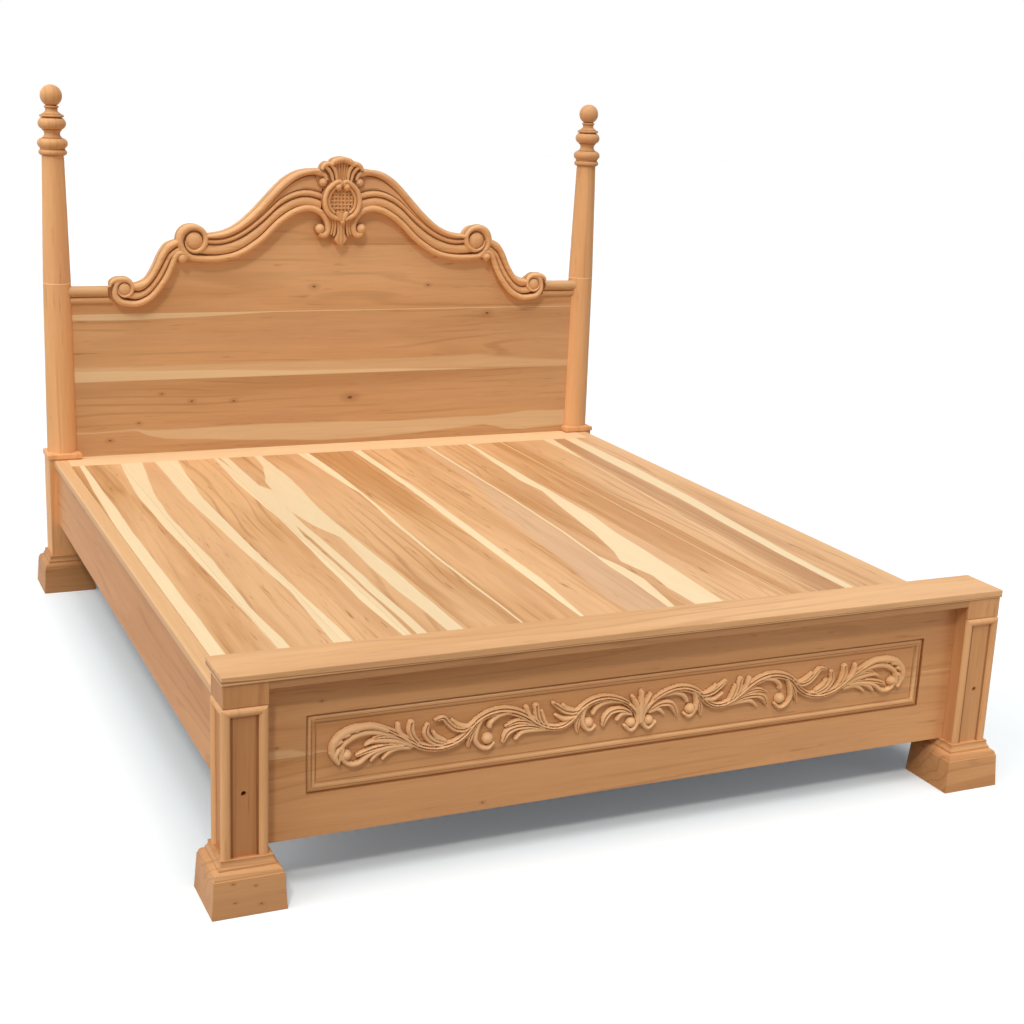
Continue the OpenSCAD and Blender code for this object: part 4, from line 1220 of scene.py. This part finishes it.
            # The ground disc under each volute carries painted shade.
            ground = [(1.0, self._clear(), 0.75), (1.0, 14.0, 0.75), (0.02, 14.0, 0.75)]
            self._turned(scroll.volute, max(scroll.turns[2:]) - 4, ground)
            self._dome(scroll.volute, scroll.eye, self.relief + 1, 0.35)
        for x, z, radius in ((70, 178, 15), (515, 86, 14), (61, 325, 13)):
            self._dome((x, z), radius, self.relief + 5, 0.8)
        self._strokes((
            (((128, 351), (104, 357), (78, 359), (57, 348), (49, 332)), (9, 9, 8.5, 7.5, 5), self.relief + 1, False),
            (((739, 2), (735, 13), (722, 20), (706, 22), (690, 21)), (2, 6, 8.5, 8.5, 6), self.relief + 1, False),
        ), (0, 0), 33)

    def _cartouche(self) -> None:
        """Round cartouche: two rolled rings, a sunk field with a lattice, curls at the top and a bow at the foot."""
        # The third figure of each ring is its painted shade.
        rings = ((1, 0, 1), (1, 34, 0.8), (0.62, 34, 0.9), (0.62, 22, 1), (0.5, 22.5, 0.35), (0.02, 23, 0.2))
        self._turned(self.centre, self.radius - 0.6, rings, 96)
        for k in range(-self.crossings, self.crossings + 1):
            reach = math.sqrt(self.sunk_radius**2 - (self.pitch * k) ** 2) - 0.5
            ends = np.linspace(-reach, reach, 40)
            path = np.stack([np.full(40, float(self.pitch * k)), ends], 1)
            for turned in (False, True):
                weave = 28.0 + 0.9 * np.cos(ends / self.pitch * math.pi + (k + turned) * math.pi)
                self._sweep((path[:, ::-1] if turned else path) + self.centre, np.full(40, self.slat), weave, 21.0)
        band = ((11, 47), (4, 56), (14, 61), (33, 50), (50, 31), (58, 3), (53, -26), (36, -47), (6, -59))
        self._strokes((
            (band, (7, 7, 7.5, 8, 8, 8, 8, 8, 6), 44.0, True),
            (((22, 42), (36, 27), (44.5, 3), (40, -22), (25, -38)), (4, 4.5, 4.5, 4.5, 4), 38.0, True),
            (((3, -60), (9, -48), (17, -34)), (6, 10, 7.5), 45.0, True),
            (((0, -60), (0, -48), (0, -38)), (6, 6, 3), 40.0, False),
        ), self.centre)
        for x, z, radius in ((-14, 44, 11.5), (14, 44, 11.5), (0, -66, 8)):
            self._dome((self.centre[0] + x, self.centre[1] + z), radius, 47.0, 0.8)

    def _shell(self) -> None:
        """Shell: fluted hollow under a rolled hood, and two ribs a side under a smaller rolled rim."""
        u = np.linspace(0, 1, 61)
        far = listed((90, 112, 124, 128, 130, 134, 134, 134, 130, 128, 124, 112, 90), u)[:, None]
        reach = 60 + (far - 60) * np.linspace(0, 1, 9)
        # The ground of the shell carries painted shade all over.
        self._band(about(self.centre, reach[..., None], 90 + 58 * (2 * u - 1)[:, None]), 20.0, 0.9)
        v, w = np.meshgrid(np.linspace(0, 1, 25), np.linspace(-1, 1, 43), indexing="ij")
        flutes = np.abs(np.sin(2.5 * np.pi * (w + 1)))
        plane = np.stack([w * (13 + 14 * v), self.centre[1] + 62 + 62 * v], -1)
        # Painted shade in the hollows of the flutes, growing towards the top.
        self._band(plane, 26 + 4 * flutes - 3 * v, 0.75 * (1 - flutes) + 0.35 * v)
        self._strokes((
            (((18, 62), (21, 84), (28, 103), (44, 119)), (4, 5.5, 6.5, 6), 37.0, True),
            (((30, 62), (35, 82), (45, 98), (60, 109)), (4, 5.5, 6.5, 5), 35.0, True),
            (((36, 114), (49, 116), (61, 109), (68, 97)), (6, 8, 8, 5), 38.0, True),
            (((-36, 112), (-27, 123), (0, 130), (27, 123), (36, 112)), (6, 10, 9.5, 10, 6), 42.0, False),
        ), self.centre)

    def _leaf_drop(self) -> None:
        """Leaf drop: a ribbed middle leaf with a lobed tip, and a frond that bends out on each side."""
        v, u = np.meshgrid(np.linspace(0, 1, 61), np.linspace(-1, 1, 49), indexing="ij")
        x = u * listed((16, 15, 14, 13.5, 14, 15, 18.5, 22, 20, 11, 1.5), v[:, 0])[:, None]
        top = self.centre[1] - self.radius - 0.4
        z = top - 79 * v + (self.radius - np.sqrt(self.radius**2 - x**2)) * (1 - v)
        ribs = np.abs(np.sin(1.5 * np.pi * (u + 1)))
        dome = np.sqrt(np.clip(1 - 0.75 * u**2, 0, 1))
        out = 16 + 12.5 * dome + 2.4 * ribs - 7 * v**8
        # Painted shade in the grooves between the ribs and at the leaf's edges.
        self._band(np.stack([x, z], -1), out, np.clip(1.1 - ribs - 0.2 * dome, 0, 1) ** 2)
        self._strokes((
            (((30, -52), (28, -76), (31, -96), (34, -104)), (10, 12, 9, 4), 17.0, True),
            (((20, -60), (19, -80), (22, -102), (26, -112)), (4, 4, 4, 2), 28.0, True),
            (((29, -56), (27, -78), (30, -99), (34, -108)), (4, 4, 4, 2), 26.0, True),
            (((38, -50), (35, -74), (38, -93), (43, -101)), (4, 4, 4, 2), 24.0, True),
        ), self.centre)


@dataclass
class Footboard:
    """Two footboard boards with a carved acanthus scroll in their frame, the cap and the fascia under it.

    Frame lines are painted shade in the grooves and painted highlights on the beads.
    Each is given by its reach to the side, its lowest and highest place, its half width and its tint.
    """

    board: Timber = Timber(Axis.X, seed=31.0, tone=0.95, warmth=1.11)
    cap: Timber = Timber(Axis.X, seed=33.0, tone=1.02, streaks=(Streak((
        (-943, 483, 487), (-880, 482, 485), (-500, 479.5, 481.5), (0, 480, 481.5), (943, 480, 481.5),
    ), Tint.DARK, 0.9, 0.7, 1.2),))
    # The fascia's low tone is painted shade from the cap above it.
    fascia: Timber = Timber(Axis.X, seed=38.0, tone=0.66, warmth=1.14)
    # The carving's tone, above the board's, is painted light on the leaves.
    carving: Timber = Timber(Axis.X, seed=34.0, tone=1.25, warmth=0.95, figure=0.5, painted_crease_shade=0.85)
    patch: Streak = Streak((
        (-848, 292, 312), (-790, 292, 310), (-760, 292, 300), (-725, 292, 298), (-700, 292.5, 294),
    ), Tint.SAP, 0.5, 3.0, 1.0)
    seam: Streak = Streak(((762, 297, 289), (766, 292.1, 293.9), (840, 292.1, 293.9)), Tint.SAP, 0.5, 0.5, 0.6)
    frames: tuple[tuple[float, float, float, float, Tint], ...] = (
        (760, 208, 378, 0.9, Tint.DARK), (755, 213, 373, 1.3, Tint.SAP), (749.5, 218.5, 367.5, 0.8, Tint.DARK),
        (744, 224, 362, 1.3, Tint.SAP), (739, 229, 357, 0.7, Tint.DARK),
    )

    def build(self) -> None:
        """Dresses the boards and carves the scroll."""
        lines = (self.seam, *self._frame_lines())
        upper = self.board.toned(streaks=(self.patch, *lines), knots=(Knot(-821, 317, 1.6), Knot(-729, 406, 1.6)))
        lower = self.board.toned(5.0, streaks=lines, knots=(Knot(-370, 130, 1.6),))
        edged_copy("footboard_upper", "footboard_board_upper", upper, Edges.PANEL)
        edged_copy("footboard_lower", "footboard_board_lower", lower, Edges.PANEL)
        edged_copy("cap", "footboard_cap", self.cap, Edges.CAP)
        edged_copy("fascia", "footboard_fascia", self.fascia)
        wood, left = self.carving.material("carving_wood"), Carving().relief()
        for side, shells in zip(Side, (left, left.mirrored())):
            name = f"acanthus_{side}"
            new_piece(name, shells.mesh(name, 80.0), wood, "footboard_board_upper", False)

    def _frame_lines(self) -> list[Streak]:
        """Painted shade as dark lines in the grooves of the frame and painted highlights as pale ones on the beads
        between them.

        Returns:
            The lines as streaks.
        """
        lines = []
        for reach, low, high, half, tint in self.frames:
            look = (tint, 0.85 if tint is Tint.DARK else 0.4, 0.6)
            lines += [Streak.patch((-reach, reach), (z - half, z + half), 2, 3, *look) for z in (low, high)]
            lines += [Streak.patch((x - half, x + half), (low, high), 1, 4, *look) for x in (-reach, reach)]
        return lines


@dataclass(frozen=True)
class Leaf:
    """One stroke of the carving: a path with half widths along it, its height and its number of ribs."""

    path: tuple[Place, ...]
    widths: tuple[float, ...]
    height: float = 1.0
    ribs: int = 1


LEAVES = (
    Leaf((
        (-655, 335), (-621, 339), (-590, 326), (-563, 310), (-534, 291), (-513, 279), (-487, 272), (-461, 272),
        (-435, 279), (-414, 293), (-397, 313), (-379, 326), (-355, 334), (-328, 335), (-301, 328), (-276, 315),
        (-254, 299), (-231, 286), (-209, 280), (-187, 282), (-168, 293), (-152, 310), (-133, 324), (-111, 332),
        (-83, 333), (-54, 325), (-30, 311), (-10, 288),
    ), (4, 6, 7, 7.5, 7, 7.5, 8.5, 8.5, 7, 6.5, 7.5, 8, 6.5, 4), 0.9, 3),
    Leaf((
        (-694, 268), (-705, 286), (-705, 306), (-695, 321), (-679, 332), (-655, 338), (-621, 338), (-590, 325),
    ), (4.5, 6, 7, 7.5, 7.5, 6.5, 5), 0.85, 1),
    Leaf((
        (-690, 274), (-689, 295), (-677, 310), (-657, 321), (-631, 325), (-601, 320), (-570, 306),
    ), (3.5, 5, 6, 6, 5, 3.5), 0.72, 1),
    Leaf(((-655, 333), (-674, 336), (-690, 331)), (5, 5, 2.5), 0.8),
    Leaf(((-673, 327), (-691, 323), (-706, 314)), (5, 5, 2.5), 0.85),
    Leaf(((-689, 314), (-702, 306), (-711, 291)), (5, 5, 2.5), 0.8),
    Leaf(((-693, 296), (-700, 283), (-694, 267)), (5, 5.5, 3), 0.9),
    Leaf((
        (-683, 297), (-686, 283), (-679, 268), (-665, 260), (-648, 262), (-633, 273), (-615, 282), (-585, 288),
        (-554, 287),
    ), (3, 4, 4.5, 5, 5, 5, 4.5, 4, 3), 0.75),
    Leaf(((-524, 283), (-550, 299), (-575, 311), (-598, 315), (-618, 313)), (4, 5.5, 6, 5.5, 2), 0.8, 2),
    Leaf(((-534, 283), (-565, 297), (-595, 303), (-621, 305), (-637, 299)), (4, 5, 5.5, 5, 2), 0.72),
    Leaf(((-539, 282), (-570, 290), (-599, 291), (-626, 287), (-654, 279)), (4, 5, 5.5, 5.5, 3), 0.78, 2),
    Leaf(((-544, 280), (-575, 285), (-600, 281), (-615, 273), (-624, 263)), (4, 4.5, 5, 5, 2), 0.7),
    Leaf(((-539, 278), (-565, 281), (-584, 276), (-599, 263)), (3, 4, 4.5, 2), 0.66),
    Leaf(((-537, 291), (-554, 306), (-564, 320), (-566, 335)), (3, 4.5, 5.5, 4.5), 0.8),
    Leaf(((-516, 284), (-530, 300), (-538, 318), (-537, 334)), (4, 6, 8, 6.5), 0.86, 2),
    Leaf(((-435, 277), (-466, 277), (-492, 289), (-504, 307), (-501, 325)), (5, 6.5, 7, 6.5, 4.5), 0.8, 2),
    Leaf(((-461, 285), (-479, 295), (-488, 308)), (4, 5, 3), 0.7),
    Leaf(((-397, 316), (-418, 305), (-439, 309), (-455, 323), (-467, 336), (-483, 334)), (5, 6, 6.5, 6, 5, 3), 0.84, 2),
    Leaf(((-410, 309), (-431, 316), (-446, 329)), (4, 4.5, 3), 0.72),
    Leaf(((-395, 303), (-403, 287), (-409, 265)), (2.5, 5.5, 2), 0.75, 2),
    Leaf(((-379, 324), (-389, 301), (-392, 276), (-380, 259), (-363, 255), (-351, 265)), (4, 5, 5, 4.5, 4.5, 3), 0.76),
    Leaf(((-315, 330), (-342, 325), (-359, 312), (-361, 304)), (4, 5, 5, 5), 0.8),
    Leaf(((-245, 290), (-270, 301), (-298, 306), (-323, 299)), (4, 5.5, 5.5, 2.5), 0.78, 2),
    Leaf(((-236, 283), (-270, 292), (-300, 292), (-319, 284), (-329, 265)), (4, 5.5, 6.5, 7.5, 3), 0.82, 2),
    Leaf(((-225, 278), (-258, 281), (-284, 280), (-300, 267)), (3, 4.5, 5, 3), 0.7),
    Leaf(((-254, 298), (-269, 316), (-277, 336)), (3, 4.5, 4.5), 0.78),
    Leaf(((-236, 287), (-249, 308), (-254, 336)), (4, 6.5, 6), 0.84, 2),
    Leaf(((-223, 284), (-233, 301), (-241, 323)), (3, 4, 3), 0.72),
    Leaf(((-141, 317), (-161, 311), (-183, 315), (-200, 326), (-214, 337)), (5, 6, 6.5, 5.5, 3.5), 0.84, 2),
    Leaf(((-166, 315), (-181, 321), (-189, 330)), (4, 4.5, 3), 0.74),
    Leaf(((-160, 301), (-185, 297), (-207, 309)), (4, 5, 3), 0.76),
    Leaf(((-148, 299), (-153, 283), (-154, 264)), (2.5, 5.5, 2), 0.75, 2),
    Leaf(((-133, 322), (-141, 303), (-140, 279), (-125, 264), (-111, 272)), (4, 5, 5, 4.5, 3), 0.76),
    Leaf(((-48, 319), (-83, 323), (-107, 315), (-117, 301)), (3, 4.5, 5, 4), 0.68),
    Leaf(((-26, 292), (-49, 302), (-73, 300), (-86, 287), (-92, 271)), (4, 6, 7, 7, 3), 0.82, 2),
    Leaf(((-23, 287), (-44, 291), (-58, 279)), (3, 5, 3), 0.72),
    Leaf(((-11, 298), (-6, 268), (-21, 250), (-38, 263)), (4.5, 5, 4.5, 3), 0.8),
    Leaf(((0, 268), (0, 303), (0, 338)), (5, 6, 4), 1.0),
    Leaf(((-4, 294), (-12, 312), (-22, 329)), (4, 5.5, 3.5), 0.86),
    Leaf(((-2, 286), (-17, 301), (-29, 312)), (4, 5, 2.5), 0.76),
)


@dataclass
class Carving:
    """Left half of the acanthus scroll as a height field in millimetres, mirrored for the right half."""

    depth: float = 17.0
    cell: float = 1.32
    left: float = -716.0
    low: float = 238.0
    high: float = 352.0
    floor_y: float = -1081.5
    sunk: float = 0.6
    spread: float = 1.22
    steepness: float = 0.7
    groove: float = 0.42
    softened: int = 4
    hollow_shade: float = 11.0
    foot_shade: float = 0.9
    leaves: tuple[Leaf, ...] = LEAVES
    balls: tuple[Triple, ...] = ((-676, 282, 12.0), (-364, 276, 13.5), (-127, 281, 12.5), (-22, 268, 12.5))

    def relief(self) -> Shells:
        """Raises the leaves and balls on a grid.

        The height at a place is the highest of all strokes there. Painted shade darkens hollows, where the height lies
        below the average round it, and the ground, up to a third of the full height.

        Returns:
            The carving as one closed shell.
        """
        xs = np.arange(self.left, 0.01, self.cell)
        xs[-1] = 0.0
        x, z = np.meshgrid(xs, np.arange(self.low, self.high, self.cell), indexing="ij")
        height = np.zeros_like(x)
        for leaf in self.leaves:
            self._raise(height, x, z, leaf)
        for ball_x, ball_z, radius in self.balls:
            share = np.hypot(x - ball_x, z - ball_z) / radius
            height = np.maximum(height, np.sqrt(np.clip(1 - share**2, 0, 1)) * 0.95)
        height[-1] = height[-2]
        hollow = (self._blur(height) - height) * self.hollow_shade
        crease_shade = np.clip(hollow + (1 - np.clip(height * 3, 0, 1)) * self.foot_shade, 0, 1)
        front = np.stack([x, self.floor_y + self.sunk - height * self.depth, z], -1) * MM
        back = np.stack([x, np.full_like(x, self.floor_y + self.sunk + 1.0), z], -1) * MM
        shells = Shells()
        shells.slab(front, back, crease_shade)
        return shells

    def _blur(self, values: Points) -> Points:
        """Averages each cell, counted twice, with its four neighbours a few times.

        Args:
            values: Values on the grid.

        Returns:
            The softened values.
        """
        for _ in range(self.softened):
            p = np.pad(values, 1, mode="edge")
            values = (p[:-2, 1:-1] + p[2:, 1:-1] + p[1:-1, :-2] + p[1:-1, 2:] + 2 * values) / 6
        return values

    def _raise(self, height: Points, x: Points, z: Points, leaf: Leaf) -> None:
        """Raises one stroke on the grid, in the box round it.

        At the share s of its half width from its line, it is as high as the root of 1 - s² to the power of its
        steepness, less the grooves between its ribs.

        Args:
            height: Heights on the grid, which are raised.
            x: Places of the grid to the side.
            z: Places of the grid upwards.
            leaf: The stroke.
        """
        u = np.linspace(0, 1, 12 * (len(leaf.path) - 1) + 1)
        line, half = smooth_line(leaf.path, u), listed(leaf.widths, u)
        low, high = line.min(0) - max(leaf.widths) - 1, line.max(0) + max(leaf.widths) + 1
        rows = np.flatnonzero((x[:, 0] > low[0]) & (x[:, 0] < high[0]))
        cols = np.flatnonzero((z[0] > low[1]) & (z[0] < high[1]))
        box = np.s_[rows[0] : rows[-1] + 1, cols[0] : cols[-1] + 1]
        place = np.stack([x[box].ravel(), z[box].ravel()], 1)
        start, along = line[:-1], line[1:] - line[:-1]
        away = place[:, None] - start
        share = np.clip((away * along).sum(2) / (along**2).sum(1), 0, 1)
        gap = np.linalg.norm(away - share[..., None] * along, axis=2)
        k, i = gap.argmin(1), np.arange(len(place))
        share, gap, away, ahead = share[i, k], gap[i, k], away[i, k], along[k]
        cross = ahead[:, 0] * away[:, 1] - ahead[:, 1] * away[:, 0]
        width = self.spread * (half[k] * (1 - share) + half[k + 1] * share)
        s = np.sign(cross) * gap / np.maximum(width, 0.3)
        rise = leaf.height * np.sqrt(np.clip(1 - s**2, 0, 1)) ** self.steepness
        if leaf.ribs > 1:
            waves = 0.5 + 0.5 * np.cos(np.pi * leaf.ribs * (s + 1))
            rise *= 1 - self.groove * waves * (np.abs(s) < 1 - 0.5 / leaf.ribs)
        height[box] = np.maximum(height[box], rise.reshape(height[box].shape))


@dataclass
class Rails:
    """Side rails, the edging strips on them and the edging board along the headboard."""

    rail: Timber = Timber(Axis.Y, seed=41.0, tone=0.90, warmth=1.165)
    strip: Timber = Timber(Axis.Y, seed=43.0, tone=0.95, warmth=1.10, figure=0.7, cream=0.40)
    head: Timber = Timber(Axis.X, seed=45.0, tone=1.04, figure=0.7, cream=0.5)

    def build(self) -> None:
        """Dresses the rails and the edging."""
        for i, side in enumerate(Side):
            edged_copy(f"rail_{side}", f"side_rail_{side}", self.rail.toned(i))
            edged_copy(f"strip_{side}", f"edging_{side}", self.strip.toned(i), Edges.STRIP)
        edged_copy("strip_head", "edging_head", self.head, Edges.CAP)


@dataclass
class Deck:
    """Twelve deck planks whose sapwood streaks run along them.

    Triples give the distance from the front of the bed and the two edges from its middle.
    """

    front: float = -1127.5
    streaks: tuple[Streak, ...] = (
        Streak((
            (414, -893, -852), (427, -893, -852), (1190, -890, -853), (1612, -880, -849), (2075, -863, -849),
        ), wander=3),
        Streak((
            (360, -740, -712), (379, -740, -712), (605, -741, -723), (1007, -755, -713), (1180, -759, -720),
            (1402, -766, -727), (1639, -766, -718), (1839, -757, -698), (2063, -739, -672),
        ), wander=4),
        Streak((
            (339, -614, -572), (687, -601, -580), (1036, -619, -589), (1600, -639, -593), (2066, -632, -563),
        ), wander=4),
        Streak((
            (312, -453, -433), (596, -463, -427), (1145, -449, -431), (1316, -447, -414), (1756, -455, -416),
            (1909, -449, -425), (2070, -445, -433),
        ), wander=4),
        Streak((
            (1420, -420, -395), (1480, -420, -380), (1560, -425, -375), (1640, -425, -378), (1700, -425, -400),
        ), wander=6),
        Streak((
            (308, -347, -309), (820, -355, -306), (1104, -342, -309), (1206, -369, -309), (1394, -395, -308),
            (1622, -379, -293), (1735, -371, -287), (1924, -323, -288), (2073, -312, -289),
        ), wander=5),
        Streak((
            (315, -165, -160), (819, -165, -157), (1179, -158, -146), (1360, -147, -137), (1537, -137, -129),
            (1617, -145, -128), (1791, -156, -126), (2073, -170, -133),
        ), wander=3),
        Streak((
            (312, -15, -5), (610, -9, 22), (829, -3, 25), (1258, 12, 38), (1593, 22, 43), (2072, 18, 45),
        ), wander=3),
        # This pale pinkish streak is a painted sheen.
        Streak((
            (320, 115, 219), (414, 109, 225), (605, 125, 234), (812, 150, 247), (1015, 158, 261), (1264, 187, 267),
            (1500, 232, 270), (1700, 255, 272),
        ), Tint.BLEACHED, 0.5, 8, 8),
        Streak((
            (322, 219, 238), (536, 234, 272), (654, 236, 268), (755, 245, 252), (984, 261, 268), (1414, 273, 280),
            (2070, 276, 286),
        ), wander=2),
        Streak((
            (317, 297, 373), (454, 294, 382), (551, 306, 388), (690, 287, 394), (769, 310, 400), (948, 341, 403),
            (1132, 365, 425), (1247, 377, 426), (1419, 401, 427), (1573, 392, 429), (1939, 418, 435), (2073, 424, 440),
        ), wander=5),
        Streak(((312, 652, 726), (911, 680, 750), (1641, 722, 780), (2060, 752, 794)), Tint.DARK, 0.35, 8, 8),
        Streak(((1651, 549, 552), (1860, 549, 554), (2075, 550, 555)), strength=0.7, wander=1, soft=1.5),
        Streak((
            (312, 645, 647.5), (588, 638, 640.5), (936, 664, 666.5), (1341, 695, 698), (1760, 715, 718),
            (1920, 714, 735), (2075, 713, 750),
        ), wander=1, soft=1.2),
        Streak((
            (328, 730, 756), (606, 735, 766), (911, 752, 789), (1228, 772, 815), (1641, 782, 833), (1848, 787, 835),
            (2079, 795, 836),
        ), wander=3),
    )
    tones: tuple[float, ...] = (0.98, 0.95, 0.98, 0.92, 0.95, 1.02, 1.02, 0.97, 0.97, 1.02, 0.93, 0.92)
    seed_step: float = 1.1
    margin: float = 6.0
    plank: Timber = Timber(Axis.Y, seed=51.0, figure=1.5, deep=srgb("c48f5b"))

    def build(self) -> None:
        """Dresses each plank with the streaks that reach it."""
        for i, tone in enumerate(self.tones):
            low, high = (corner.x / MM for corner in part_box(f"deck_plank_{i + 1}"))
            streaks = tuple(
                replace(s, stations=tuple((y + self.front, *edges) for y, *edges in s.stations))
                for s in self.streaks
                if s.reaches(low - self.margin, high + self.margin)
            )
            plank = self.plank.toned(i * self.seed_step, tone, streaks=streaks)
            edged_copy(f"plank_{i + 1}", f"deck_plank_{i + 1}", plank, Edges.PLANK)


@dataclass
class InnerParts:
    """Timber and steel inside the bed: cross rail, cleats, bearers, dowels, bolts and nuts."""

    timber: Timber = Timber(Axis.Y, seed=61.0, tone=0.95)
    dowels: Timber = Timber(Axis.Y, seed=61.0, tone=1.05)
    steel: Steel = Steel()

    def build(self) -> None:
        """Dresses the hidden timber and the fittings."""
        for node, grain in (("head_cross_rail", Axis.X), ("ledger_cleats", Axis.Y), ("cross_bearers", Axis.X)):
            edged_copy(f"inner_{node}", node, replace(self.timber, grain=grain))
        edged_copy("inner_dowels", "wood_dowels", self.dowels, Edges.FITTING)
        edged_copy("inner_bolts", "bed_bolts", self.steel, Edges.FITTING)
        edged_copy("inner_nuts", "barrel_nuts", self.steel, Edges.FITTING)


def main() -> None:
    """Builds the dressed bed."""
    logging.basicConfig(level=logging.INFO, format="%(name)s %(message)s")
    for part in (Studio, FrontPosts, Plinths, HeadPosts, Headboard, Crest, Footboard, Rails, Deck, InnerParts):
        part().build()


if __name__ == "__main__":
    main()
